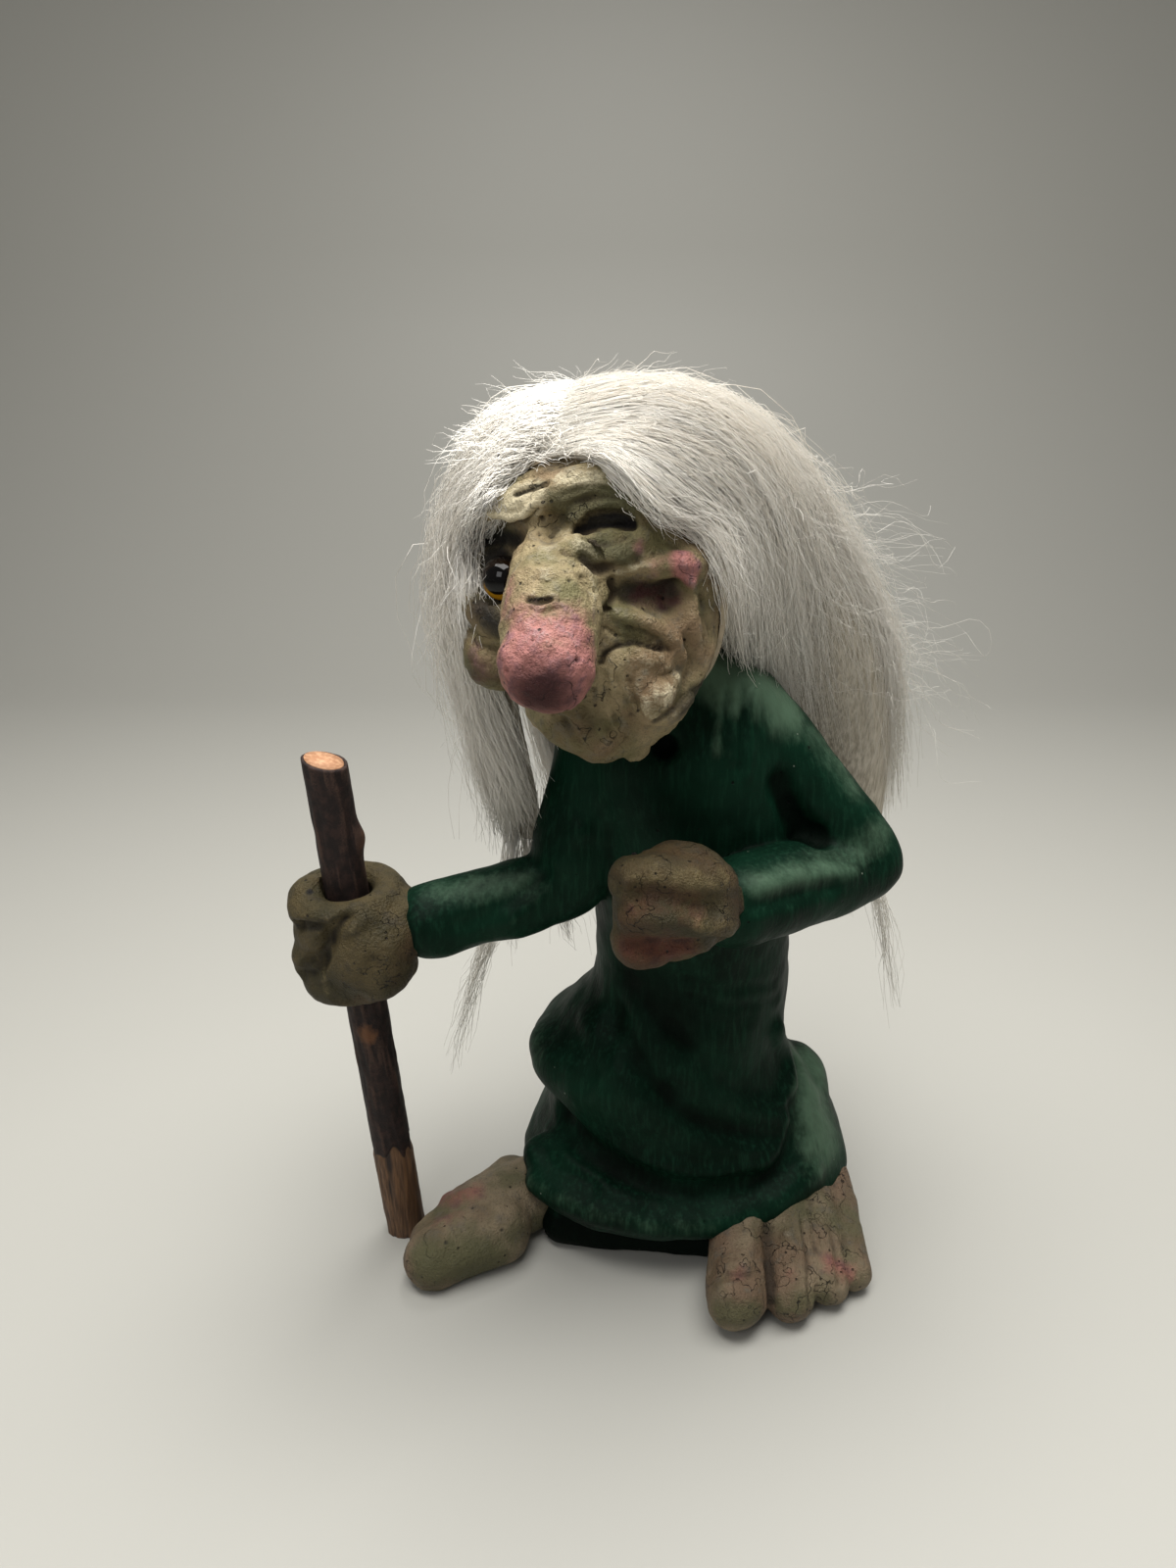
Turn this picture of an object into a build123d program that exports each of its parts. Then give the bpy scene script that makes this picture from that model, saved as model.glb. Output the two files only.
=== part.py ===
"""A stooping folk-tale troll woman who leans on a twig.

Painted hollow castings are joined on dowels and wires, a foam core stiffens the dress, one glass eye
sits on its wire loop, a long-haired pelt is glued to the skull, and a loose twig stands in the fist.

Millimetres. +Z is up, -Y is the side she is looked at from, and the origin is on the floor, in the
middle of the bounding box.
"""

import os

from build123d import *

# Where the stance stands in the frame
stance_x = -4.8
stance_y = 6.5

# Walls and clearances
casting_wall = 3.5
skirt_wall = 8.5
glue_gap = 0.2
core_gap = 0.3
peg_gap = 0.15
hair_gap = 0.3

# Dress, from the hem up: height of each ring, its middle, and its full width and depth
hem_height = 11.0
hem_x = 20.0
hem_y = 14.0
hem_width = 86.0
hem_depth = 68.0

roll_height = 23.0
roll_x = 19.5
roll_y = 15.0
roll_width = 82.0
roll_depth = 68.0

knee_height = 48.0
knee_x = 14.0
knee_y = 11.0
knee_width = 67.0
knee_depth = 58.0

waist_height = 72.0
waist_x = 19.5
waist_y = 7.0
waist_width = 47.0
waist_depth = 44.0

ribs_height = 100.0
ribs_x = 18.0
ribs_y = 1.0
ribs_width = 46.0
ribs_depth = 42.0

chest_height = 128.0
chest_x = 15.0
chest_y = -4.0
chest_width = 50.0
chest_depth = 40.0

shoulder_height = 146.0
shoulder_x = 13.0
shoulder_y = -6.0
shoulder_width = 42.0
shoulder_depth = 30.0

collar_height = 155.0
collar_x = 9.0
collar_y = -10.0
collar_width = 24.0
collar_depth = 20.0

# The fold that hangs round the skirt above its rolled hem: a tilted ring cut into the outside
fold_x = 17.0
fold_y = 9.0
fold_height = 39.7
fold_half_width = 39.4
fold_half_depth = 32.3
fold_radius = 5.0
fold_way_x = 0.162
fold_way_y = -0.426
fold_way_z = 1.0

# Filling hole in the dress's floor and its plug
plug_radius = 7.0
plug_x = 24.0
plug_y = 34.0
plug_flange = 3.0
plug_flange_thickness = 1.5

# Head, from the chin up: height of each ring, its middle, and its full width and depth
chin_height = 141.0
chin_x = -3.0
chin_y = -37.0
chin_width = 14.0
chin_depth = 10.0

jaw_height = 147.0
jaw_x = -2.5
jaw_y = -34.0
jaw_width = 30.0
jaw_depth = 24.0

mouth_height = 156.0
mouth_x = -2.5
mouth_y = -30.0
mouth_width = 39.0
mouth_depth = 36.0

cheek_height = 168.0
cheek_x = -3.0
cheek_y = -24.5
cheek_width = 46.0
cheek_depth = 45.0

temple_height = 180.0
temple_x = -3.5
temple_y = -21.5
temple_width = 47.0
temple_depth = 45.0

forehead_height = 191.0
forehead_x = -4.0
forehead_y = -21.5
forehead_width = 36.0
forehead_depth = 36.0

scalp_height = 198.5
scalp_x = -4.5
scalp_y = -22.0
scalp_width = 12.0
scalp_depth = 12.0

# Lumps on the face
brow_left_x = 3.0
brow_left_y = -35.5
brow_left_z = 187.5
brow_right_x = -19.0
brow_right_y = -33.5
brow_right_z = 182.5
brow_radius = 6.0

chin_lump_x = 3.5
chin_lump_y = -41.0
chin_lump_z = 152.5
chin_lump_radius = 8.0

left_cheek_x = 10.0
left_cheek_y = -34.0
left_cheek_z = 172.0
left_cheek_radius = 8.0

right_cheek_x = -23.0
right_cheek_y = -30.5
right_cheek_z = 159.0
right_cheek_radius = 7.0

eyelid_x = -19.5
eyelid_y = -30.5
eyelid_z = 173.0
eyelid_radius = 7.5

# Nose, from its root between the eyes to its drooping tip
nose_root_x = -12.0
nose_root_y = -36.0
nose_root_z = 178.0
nose_root_radius = 6.5
nose_tip_x = -13.0
nose_tip_y = -57.0
nose_tip_z = 162.5
nose_tip_radius = 8.0

# Neck dowel, from inside the chest to inside the skull
neck_dowel_radius = 4.0
neck_low_x = 14.0
neck_low_y = 0.0
neck_low_z = 116.0
neck_high_x = 1.0
neck_high_y = -16.0
neck_high_z = 166.0

# Arms: shoulder, elbow and wrist of each, with the sleeve's radius there
left_shoulder_x = 28.0
left_shoulder_y = -4.0
left_shoulder_z = 140.0
left_shoulder_radius = 12.0
left_elbow_x = 56.5
left_elbow_y = -7.0
left_elbow_z = 106.0
left_elbow_radius = 8.5
left_wrist_x = 23.5
left_wrist_y = -30.5
left_wrist_z = 106.0
left_wrist_radius = 9.0

right_shoulder_x = -3.0
right_shoulder_y = -4.0
right_shoulder_z = 132.0
right_shoulder_radius = 12.0
right_elbow_x = -11.0
right_elbow_y = -7.0
right_elbow_z = 99.5
right_elbow_radius = 9.0
right_wrist_x = -40.5
right_wrist_y = -12.0
right_wrist_z = 93.5
right_wrist_radius = 7.6

# Armature wire inside each arm, and where it starts in the chest
left_wire_x = 22.0
left_wire_y = -2.0
left_wire_z = 120.0
right_wire_x = 4.0
right_wire_y = 0.0
right_wire_z = 118.0
arm_wire_radius = 1.2
arm_wire_bend = 6.0
arm_wire_in_hand = 9.0

# Hands
left_fist_x = 10.0
left_fist_y = -40.5
left_fist_z = 111.5
left_fist_half_length = 14.0
left_fist_radius = 11.5
left_knuckle_radius = 4.2
left_knuckle_half_length = 8.4
left_knuckle_pitch = 5.4
left_knuckle_shift = -2.0
left_knuckle_reach = 7.1
wrist_tuck = 1.0

right_fist_half_length = 13.5
right_fist_radius = 11.5
right_fist_height = 89.0
right_knuckle_radius = 4.4
right_knuckle_pitch = 6.2
right_knuckle_reach = 8.8
right_knuckle_wrap = 170.0
right_knuckle_start_x = -0.3
right_knuckle_start_y = 1.0
right_palm_shift_x = 2.5
right_palm_shift_y = 1.0
right_stub_tuck = 2.5
thumb_base_x = 7.0
thumb_base_y = -6.5
thumb_base_z = -7.0
thumb_base_radius = 6.0
thumb_tip_x = -2.0
thumb_tip_y = -9.5
thumb_tip_z = 4.0
thumb_tip_radius = 5.0
knuckle_count = 4

# Feet: heel point, the way the toes point, and the rings from heel to ball
left_heel_x = 45.0
left_heel_y = 25.0
left_toe_way_x = -0.06
left_toe_way_y = -1.0
left_foot_length = 64.0
left_foot_width = 40.0
left_foot_height = 26.0
left_big_toe_radius = 7.6
left_big_toe_side = -1.0
left_toe_slant = 2.5

right_heel_x = 9.0
right_heel_y = 14.0
right_toe_way_x = -0.89
right_toe_way_y = -0.45
right_foot_length = 68.0
right_foot_width = 29.0
right_foot_height = 24.0
right_big_toe_radius = 7.2
right_big_toe_side = 1.0
right_toe_slant = 5.0

# Foot rings from heel to instep, as shares of the foot's length, width and height
foot_rings = [
    (0.08, 0.5, 0.6),
    (0.28, 0.72, 1.0),
    (0.55, 0.86, 0.86),
]
ball_height_share = 0.58
toe_root_width_share = 0.93
toe_root_height_share = 0.41
foot_middle_share = 0.3
toe_count = 4
toe_taper = 0.8
toe_spacing = 0.7
toe_stretch = 1.5
toe_middle_share = 0.75
floor_span = 300.0

# Dowels from the feet up into the core
leg_peg_radius = 3.0
leg_peg_length = 30.0
leg_peg_in_foot = 10.0
leg_peg_from_heel = 16.0

# Glass eye
eye_radius = 4.2
eye_x = -21.2
eye_y = -34.5
eye_z = 173.2
eye_gaze_x = -0.3
eye_gaze_y = -0.95
eye_gaze_z = 0.05
eye_seat_gap = 0.1
iris_radius = 3.7
iris_thickness = 0.5
pupil_radius = 2.6
eye_pin_radius = 0.6
eye_pin_length = 12.0

# Pelt and hair; the locks' rings are x, y, z, half width and half thickness
pelt_thickness = 0.9
crown_x = -4.0
crown_y = -20.0
crown_z = 178.0
crown_half_width = 33.0
crown_half_depth = 33.0
crown_half_height = 30.0
hairline_x = -9.0
hairline_y = -33.0
hairline_z = 187.0
hairline_way_x = -0.18
hairline_way_y = -0.9
hairline_way_z = -0.25
crown_low_end = 158.0

right_curtain_rings = [
    (-10, -14, 197, 8, 6),
    (-24, -14, 187, 8, 7),
    (-30, -11, 166, 7.5, 8),
    (-27, -7, 142, 7, 8),
    (-23, -2, 122, 6, 7),
    (-19, 3, 106, 4, 5),
]
left_curtain_rings = [
    (0, -12, 195, 11, 11),
    (16, -4, 188, 13, 13),
    (32, 7, 172, 15, 13),
    (47, 17, 150, 16, 11),
    (58, 24, 125, 12, 8),
    (64, 28, 98, 6, 5),
]
back_rings = [
    (0, -4, 194, 18, 10),
    (5, 14, 175, 29, 12),
    (11, 26, 147, 35, 11),
    (16, 35, 115, 34, 9),
    (19, 41, 82, 28, 7),
    (21, 48, 52, 18, 4),
]
right_wisp_rings = [
    (-20, 5, 112, 3.5, 4),
    (-21, 8, 99, 4, 3.5),
    (-27, 10, 80, 4, 3.5),
    (-34, 11, 58, 3, 2.5),
    (-40, 11, 38, 1, 1),
]
left_wisp_rings = [
    (63, 27, 106, 4, 4),
    (66, 29, 94, 4.5, 4),
    (71, 31, 76, 4, 3.5),
    (76, 32, 57, 3, 2.5),
    (79, 32, 40, 1, 1),
]

# Twig
twig_foot_x = -53.0
twig_foot_y = -2.5
twig_top_x = -62.0
twig_top_y = -13.0
twig_top_z = 131.0
twig_radius = 4.8
bark_thickness = 0.6
bark_fit = 0.05
bark_low_end = 24.0
twig_bore_gap = 0.7
twig_cut_lean = 0.28
twig_stock_length = 200.0
twig_stock_below = 5.0
knot_stretch = 1.5
upper_knot_height = 108.0
upper_knot_radius = 2.6
upper_knot_stand = 1.2
lower_knot_height = 66.0
lower_knot_radius = 2.8
lower_knot_stand = 0.4


def at(x, y, z):
    """A point given from the middle of the stance, in the part's own frame."""
    return Vector(x + stance_x, y + stance_y, z)


def egg(middle, way, half_length, radius):
    """A round ball stretched along one way."""
    with BuildPart(mode=Mode.PRIVATE) as form:
        Sphere(radius)
        scale(by=(1, 1, half_length / radius))
    return form.part.moved(Plane(origin=middle, z_dir=way).location)


def ball(middle, radius):
    with BuildPart(mode=Mode.PRIVATE) as form:
        with Locations(middle):
            Sphere(radius)
    return form.part


def taper(start, end, start_radius, end_radius):
    """A round tapered bar from one point to another."""
    way = end - start
    with BuildPart(mode=Mode.PRIVATE) as form:
        with BuildSketch(Plane(origin=start, z_dir=way)):
            Circle(start_radius)
        with BuildSketch(Plane(origin=end, z_dir=way)):
            Circle(end_radius)
        loft()
    return form.part


def rod(start, end, radius):
    return taper(start, end, radius, radius)


def joined(*pieces):
    with BuildPart(mode=Mode.PRIVATE) as form:
        add(pieces)
    return form.part


def cut(*tools):
    """Takes the tools out of the piece being built, one after another."""
    for tool in tools:
        add(tool, mode=Mode.SUBTRACT)


def carved(piece, *tools):
    """A piece with the tools cut out of it."""
    with BuildPart(mode=Mode.PRIVATE) as form:
        add(piece)
        cut(*tools)
    return form.part


def ring_loft(rings, grow):
    """A smooth form through level rings: height, middle x and y, full width and depth."""
    with BuildPart(mode=Mode.PRIVATE) as form:
        for height, x, y, width, depth in rings:
            with BuildSketch(Plane(origin=at(x, y, height))):
                Ellipse(width / 2 + grow, depth / 2 + grow)
        loft()
    return form.part


def dress_form(grow):
    """The dress's outside, grown by a clearance."""
    rings = [
        (hem_height, hem_x, hem_y, hem_width, hem_depth),
        (roll_height, roll_x, roll_y, roll_width, roll_depth),
        (knee_height, knee_x, knee_y, knee_width, knee_depth),
        (waist_height, waist_x, waist_y, waist_width, waist_depth),
        (ribs_height, ribs_x, ribs_y, ribs_width, ribs_depth),
        (chest_height, chest_x, chest_y, chest_width, chest_depth),
        (shoulder_height, shoulder_x, shoulder_y, shoulder_width, shoulder_depth),
        (collar_height, collar_x, collar_y, collar_width, collar_depth),
    ]
    return ring_loft(rings, grow)


def dress_inside(gap):
    """The room inside the dress's walls, drawn in by a clearance, as high as the shoulders."""
    thicker = 2 * (skirt_wall - casting_wall)
    wall = casting_wall + gap
    rings = [
        (hem_height + wall, hem_x, hem_y, hem_width - thicker, hem_depth - thicker),
        (roll_height, roll_x, roll_y, roll_width - thicker, roll_depth - thicker),
        (knee_height, knee_x, knee_y, knee_width - thicker, knee_depth - thicker),
        (waist_height, waist_x, waist_y, waist_width, waist_depth),
        (ribs_height, ribs_x, ribs_y, ribs_width, ribs_depth),
        (chest_height, chest_x, chest_y, chest_width, chest_depth),
        (shoulder_height - wall, shoulder_x, shoulder_y, shoulder_width, shoulder_depth),
    ]
    return ring_loft(rings, -wall)


def skirt_fold_form():
    """The ring that is cut into the skirt as a hanging fold."""
    way = (fold_way_x, fold_way_y, fold_way_z)
    with BuildPart(mode=Mode.PRIVATE) as form:
        Torus(fold_half_width, fold_radius)
        scale(by=(1, fold_half_depth / fold_half_width, 1))
    place = Plane(origin=at(fold_x, fold_y, fold_height), x_dir=(1, 0, -fold_way_x), z_dir=way)
    return form.part.moved(place.location)


def skull_form(grow):
    """The head without its nose and lumps, grown by a clearance."""
    rings = [
        (chin_height - grow, chin_x, chin_y, chin_width, chin_depth),
        (jaw_height, jaw_x, jaw_y, jaw_width, jaw_depth),
        (mouth_height, mouth_x, mouth_y, mouth_width, mouth_depth),
        (cheek_height, cheek_x, cheek_y, cheek_width, cheek_depth),
        (temple_height, temple_x, temple_y, temple_width, temple_depth),
        (forehead_height, forehead_x, forehead_y, forehead_width, forehead_depth),
        (scalp_height + grow, scalp_x, scalp_y, scalp_width, scalp_depth),
    ]
    return ring_loft(rings, grow)


def nose_form(grow):
    root = at(nose_root_x, nose_root_y, nose_root_z)
    tip = at(nose_tip_x, nose_tip_y, nose_tip_z)
    bridge = taper(root, tip, nose_root_radius + grow, nose_tip_radius + grow)
    return joined(bridge, ball(root, nose_root_radius + grow), ball(tip, nose_tip_radius + grow))


def head_form(grow):
    """The head's outside, grown by a clearance."""
    brow_left = at(brow_left_x, brow_left_y, brow_left_z)
    brow_right = at(brow_right_x, brow_right_y, brow_right_z)
    return joined(
        skull_form(grow),
        rod(brow_left, brow_right, brow_radius + grow),
        ball(brow_left, brow_radius + grow),
        ball(brow_right, brow_radius + grow),
        ball(at(chin_lump_x, chin_lump_y, chin_lump_z), chin_lump_radius + grow),
        ball(at(left_cheek_x, left_cheek_y, left_cheek_z), left_cheek_radius + grow),
        ball(at(right_cheek_x, right_cheek_y, right_cheek_z), right_cheek_radius + grow),
        ball(at(eyelid_x, eyelid_y, eyelid_z), eyelid_radius + grow),
        nose_form(grow),
    )


def sleeve_form(shoulder, elbow, wrist, radii, grow):
    """A bent sleeve: upper arm, elbow and forearm, with an open flat cuff at the wrist."""
    at_shoulder, at_elbow, at_wrist = (radius + grow for radius in radii)
    return joined(
        ball(shoulder, at_shoulder),
        taper(shoulder, elbow, at_shoulder, at_elbow),
        ball(elbow, at_elbow),
        taper(elbow, wrist, at_elbow, at_wrist),
    )


def arm_wire_form(points, radius):
    """A wire bent through the arm, from inside the chest to inside the hand."""
    with BuildPart(mode=Mode.PRIVATE) as form:
        with BuildLine() as route:
            FilletPolyline(*points, radius=arm_wire_bend)
        with BuildSketch(Plane(origin=points[0], z_dir=points[1] - points[0])):
            Circle(radius)
        sweep(path=route.wires()[0])
    return form.part


def foot_form(heel, way, length, width, height, big_toe, big_side, slant, grow):
    """A flat-soled foot: heel, instep and ball in one loft, and a row of toes."""
    way = Vector(way).normalized()
    side = Vector(0, 0, 1).cross(way)
    ball_at = length - 2 * big_toe - slant
    rings = [(length * far, width * wide, height * high) for far, wide, high in foot_rings]
    rings += [
        (ball_at, width, height * ball_height_share),
        (ball_at + big_toe, width * toe_root_width_share, height * toe_root_height_share),
    ]
    with BuildPart(mode=Mode.PRIVATE) as floor:
        with Locations(heel - Vector(0, 0, grow)):
            Box(floor_span, floor_span, length, align=(Align.CENTER, Align.CENTER, Align.MAX))
    with BuildPart(mode=Mode.PRIVATE) as form:
        for distance, ring_width, ring_height in rings:
            middle = heel + way * distance + Vector(0, 0, ring_height * foot_middle_share)
            with BuildSketch(Plane(origin=middle, x_dir=side, z_dir=way)):
                Ellipse(ring_width / 2 + grow, ring_height * (1 - foot_middle_share) + grow)
        loft()
        cut(floor.part)
    across = width / 2 - big_toe
    toes = []
    for number in range(toe_count):
        radius = big_toe * toe_taper**number
        place = heel + way * (length - toe_stretch * radius - slant * number)
        place += side * big_side * across + Vector(0, 0, radius * toe_middle_share)
        toe = egg(place, way, radius * toe_stretch + grow, radius + grow)
        toes.append(carved(toe, floor.part))
        across -= radius * (1 + toe_taper) * toe_spacing
    return joined(form.part, *toes)


def leg_peg_form(heel, way, radius, length):
    """A dowel that stands in the foot and reaches up into the core."""
    foot = heel + Vector(way).normalized() * leg_peg_from_heel + Vector(0, 0, leg_peg_in_foot)
    return rod(foot, foot + Vector(0, 0, length), radius)


def crown_form():
    """The dome of hair over the skull, before it is cut to its hairline."""
    with BuildPart(mode=Mode.PRIVATE) as form:
        Sphere(crown_half_width)
        scale(by=(1, crown_half_depth / crown_half_width, crown_half_height / crown_half_width))
    return form.part.moved(Location(at(crown_x, crown_y, crown_z)))


def lock_form(rings):
    """A lock of hair through rings: x, y, z, half width and half thickness."""
    points = [at(x, y, z) for x, y, z, width, thickness in rings]
    with BuildPart(mode=Mode.PRIVATE) as form:
        for number, ring in enumerate(rings):
            before = points[max(number - 1, 0)]
            after = points[min(number + 1, len(points) - 1)]
            way = after - before
            across = way.cross(Vector(0, 1, 0))
            with BuildSketch(Plane(origin=points[number], x_dir=across, z_dir=way)):
                Ellipse(ring[3], ring[4])
        loft()
    return form.part


left_shoulder = at(left_shoulder_x, left_shoulder_y, left_shoulder_z)
left_elbow = at(left_elbow_x, left_elbow_y, left_elbow_z)
left_wrist = at(left_wrist_x, left_wrist_y, left_wrist_z)
left_radii = (left_shoulder_radius, left_elbow_radius, left_wrist_radius)
left_forearm_way = (left_wrist - left_elbow).normalized()
right_shoulder = at(right_shoulder_x, right_shoulder_y, right_shoulder_z)
right_elbow = at(right_elbow_x, right_elbow_y, right_elbow_z)
right_wrist = at(right_wrist_x, right_wrist_y, right_wrist_z)
right_radii = (right_shoulder_radius, right_elbow_radius, right_wrist_radius)
right_forearm_way = (right_wrist - right_elbow).normalized()

left_heel = at(left_heel_x, left_heel_y, 0)
left_toe_way = (left_toe_way_x, left_toe_way_y, 0)
right_heel = at(right_heel_x, right_heel_y, 0)
right_toe_way = (right_toe_way_x, right_toe_way_y, 0)

twig_foot = at(twig_foot_x, twig_foot_y, 0)
twig_top = at(twig_top_x, twig_top_y, twig_top_z)
twig_way = (twig_top - twig_foot).normalized()

eye = at(eye_x, eye_y, eye_z)
gaze = Vector(eye_gaze_x, eye_gaze_y, eye_gaze_z).normalized()


def left_foot_form(grow):
    return foot_form(left_heel, left_toe_way, left_foot_length, left_foot_width, left_foot_height,
                     left_big_toe_radius, left_big_toe_side, left_toe_slant, grow)


def right_foot_form(grow):
    return foot_form(right_heel, right_toe_way, right_foot_length, right_foot_width, right_foot_height,
                     right_big_toe_radius, right_big_toe_side, right_toe_slant, grow)


def left_sleeve_form(grow):
    return sleeve_form(left_shoulder, left_elbow, left_wrist, left_radii, grow)


def right_sleeve_form(grow):
    return sleeve_form(right_shoulder, right_elbow, right_wrist, right_radii, grow)


def left_wire_form(grow):
    start = at(left_wire_x, left_wire_y, left_wire_z)
    end = left_wrist + left_forearm_way * arm_wire_in_hand
    return arm_wire_form([start, left_shoulder, left_elbow, end], arm_wire_radius + grow)


def right_wire_form(grow):
    start = at(right_wire_x, right_wire_y, right_wire_z)
    end = right_wrist + right_forearm_way * arm_wire_in_hand
    return arm_wire_form([start, right_shoulder, right_elbow, end], arm_wire_radius + grow)


def left_peg_form(grow):
    return leg_peg_form(left_heel, left_toe_way, leg_peg_radius + grow, leg_peg_length + grow)


def right_peg_form(grow):
    return leg_peg_form(right_heel, right_toe_way, leg_peg_radius + grow, leg_peg_length + grow)


def neck_form(grow):
    low = at(neck_low_x, neck_low_y, neck_low_z)
    high = at(neck_high_x, neck_high_y, neck_high_z)
    way = (high - low).normalized()
    return rod(low - way * grow, high + way * grow, neck_dowel_radius + grow)


def eye_seat_form(grow):
    """The glass dome's seat in the face and the pin's hole behind it."""
    back = eye - gaze * (iris_thickness + grow)
    return joined(
        carved(ball(eye, eye_radius + grow), rod(back, back - gaze * 2 * eye_radius, 2 * eye_radius)),
        rod(back, back - gaze * eye_pin_length, eye_pin_radius + grow),
    )


def plug_form(grow):
    floor = at(plug_x, plug_y, hem_height)
    return joined(
        rod(floor, floor + Vector(0, 0, casting_wall + grow), plug_radius + grow),
        rod(floor - Vector(0, 0, plug_flange_thickness), floor, plug_radius + plug_flange + grow),
    )


def left_hand_form():
    """A closed fist held to the chest, its knuckles turned to the front."""
    fist = at(left_fist_x, left_fist_y, left_fist_z)
    palm = egg(fist, left_forearm_way, left_fist_half_length, left_fist_radius)
    stub = taper(left_wrist, fist, left_wrist_radius - wrist_tuck, left_fist_radius - wrist_tuck)
    knuckles = []
    for number in range(knuckle_count):
        drop = (number - (knuckle_count - 1) / 2) * left_knuckle_pitch
        place = fist + Vector(left_knuckle_shift, -left_knuckle_reach, -drop)
        knuckle = egg(place, left_forearm_way, left_knuckle_half_length, left_knuckle_radius)
        knuckles.append(knuckle)
    return joined(palm, stub, *knuckles)


def right_hand_form():
    """A fist closed around the twig, the thumb lying across the front."""
    fist = twig_foot + twig_way * right_fist_height
    palm_middle = fist + Vector(right_palm_shift_x, right_palm_shift_y, 0)
    palm = egg(palm_middle, right_forearm_way, right_fist_half_length, right_fist_radius)
    stub_end = right_fist_radius - right_stub_tuck
    stub = taper(right_wrist, fist, right_wrist_radius - wrist_tuck, stub_end)
    thumb_base = fist + Vector(thumb_base_x, thumb_base_y, thumb_base_z)
    thumb_tip = fist + Vector(thumb_tip_x, thumb_tip_y, thumb_tip_z)
    thumb = taper(thumb_base, thumb_tip, thumb_base_radius, thumb_tip_radius)
    finger_start = (right_knuckle_start_x, right_knuckle_start_y, 0)
    fingers = []
    for number in range(knuckle_count):
        drop = (number - (knuckle_count - 1) / 2) * right_knuckle_pitch
        place = Plane(origin=fist - twig_way * drop, x_dir=finger_start, z_dir=twig_way)
        with BuildPart(mode=Mode.PRIVATE) as finger:
            Torus(right_knuckle_reach, right_knuckle_radius, major_angle=right_knuckle_wrap)
        fingers.append(finger.part.moved(place.location))
    return joined(palm, stub, thumb, ball(thumb_base, thumb_base_radius),
                  ball(thumb_tip, thumb_tip_radius), *fingers)


# Outsides of the pieces, and the room each leaves for its neighbours
head_room = head_form(glue_gap)
dress_room = dress_form(glue_gap)
left_sleeve_room = left_sleeve_form(glue_gap)
right_sleeve_room = right_sleeve_form(glue_gap)
left_foot_room = left_foot_form(glue_gap)
right_foot_room = right_foot_form(glue_gap)
left_wire_hole = left_wire_form(peg_gap)
right_wire_hole = right_wire_form(peg_gap)
left_peg_hole = left_peg_form(peg_gap)
right_peg_hole = right_peg_form(peg_gap)
neck_hole = neck_form(peg_gap)
eye_seat = eye_seat_form(eye_seat_gap)
twig_bore = rod(twig_foot, twig_top, twig_radius + twig_bore_gap)
arm_holes = [left_wire_hole, right_wire_hole, neck_hole]
print("forms ready")

dress = dress_form(0)
skirt_fold = skirt_fold_form()
dress_hollow = dress_inside(0)
plug_hole = plug_form(peg_gap)
core = dress_inside(core_gap)
left_foot_core_room = left_foot_form(core_gap)
right_foot_core_room = right_foot_form(core_gap)
plug = plug_form(0)

# The dress casting, closed by a floor with a filling hole
with BuildPart() as dress_shell:
    add(dress)
    cut(skirt_fold)
    cut(dress_hollow)
    cut(head_room)
    cut(left_foot_room, right_foot_room)
    cut(left_peg_hole, right_peg_hole)
    cut(*arm_holes)
    cut(plug_hole)

# The foam core that stiffens the dress
with BuildPart() as body_filling:
    add(core)
    cut(left_foot_core_room, right_foot_core_room)
    cut(left_peg_hole, right_peg_hole)
    cut(*arm_holes)

with BuildPart() as base_plug:
    add(plug)
print("dress ready")

left_sleeve_solid = left_sleeve_form(0)
right_sleeve_solid = right_sleeve_form(0)
left_wire = left_wire_form(0)
right_wire = right_wire_form(0)
left_fist = left_hand_form()
right_fist = right_hand_form()

# Sleeves with the armature wires in them
with BuildPart() as left_sleeve:
    add(left_sleeve_solid)
    cut(dress_room, head_room, left_wire_hole)

with BuildPart() as right_sleeve:
    add(right_sleeve_solid)
    cut(dress_room, head_room, right_wire_hole)

with BuildPart() as left_arm_wire:
    add(left_wire)

with BuildPart() as right_arm_wire:
    add(right_wire)

# Hands; the right one is bored for the twig
with BuildPart() as left_hand:
    add(left_fist)
    cut(left_sleeve_room, dress_room, left_wire_hole)

with BuildPart() as right_hand:
    add(right_fist)
    cut(right_sleeve_room, right_wire_hole, twig_bore)
print("arms ready")

left_foot_solid = left_foot_form(0)
right_foot_solid = right_foot_form(0)
left_peg = left_peg_form(0)
right_peg = right_peg_form(0)

# Feet and the dowels that stand in them
with BuildPart() as left_foot:
    add(left_foot_solid)
    cut(left_peg_hole)

with BuildPart() as right_foot:
    add(right_foot_solid)
    cut(left_foot_room, right_peg_hole)

with BuildPart() as left_leg_peg:
    add(left_peg)

with BuildPart() as right_leg_peg:
    add(right_peg)
print("feet ready")

head = head_form(0)
head_hollow = skull_form(-casting_wall)
head_core = skull_form(-casting_wall - core_gap)
dowel = neck_form(0)

# The hollow head on its dowel
with BuildPart() as head_shell:
    add(head)
    cut(eye_seat, head_hollow, neck_hole)

with BuildPart() as head_filling:
    add(head_core)
    cut(eye_seat, neck_hole)

with BuildPart() as neck_dowel:
    add(dowel)
print("head ready")

# The glass eye: clear dome, amber ring, black pupil, and a pin behind
eye_plane = Plane(origin=eye, z_dir=gaze)
eye_ball = ball(eye, eye_radius)
pin_start = eye - gaze * iris_thickness
pin = rod(pin_start, pin_start - gaze * eye_pin_length, eye_pin_radius)

with BuildPart() as eye_glass:
    add(eye_ball)
    split(bisect_by=eye_plane, keep=Keep.TOP)

with BuildPart() as eye_iris:
    with BuildSketch(eye_plane):
        Circle(iris_radius)
        Circle(pupil_radius, mode=Mode.SUBTRACT)
    extrude(amount=-iris_thickness)

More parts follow.
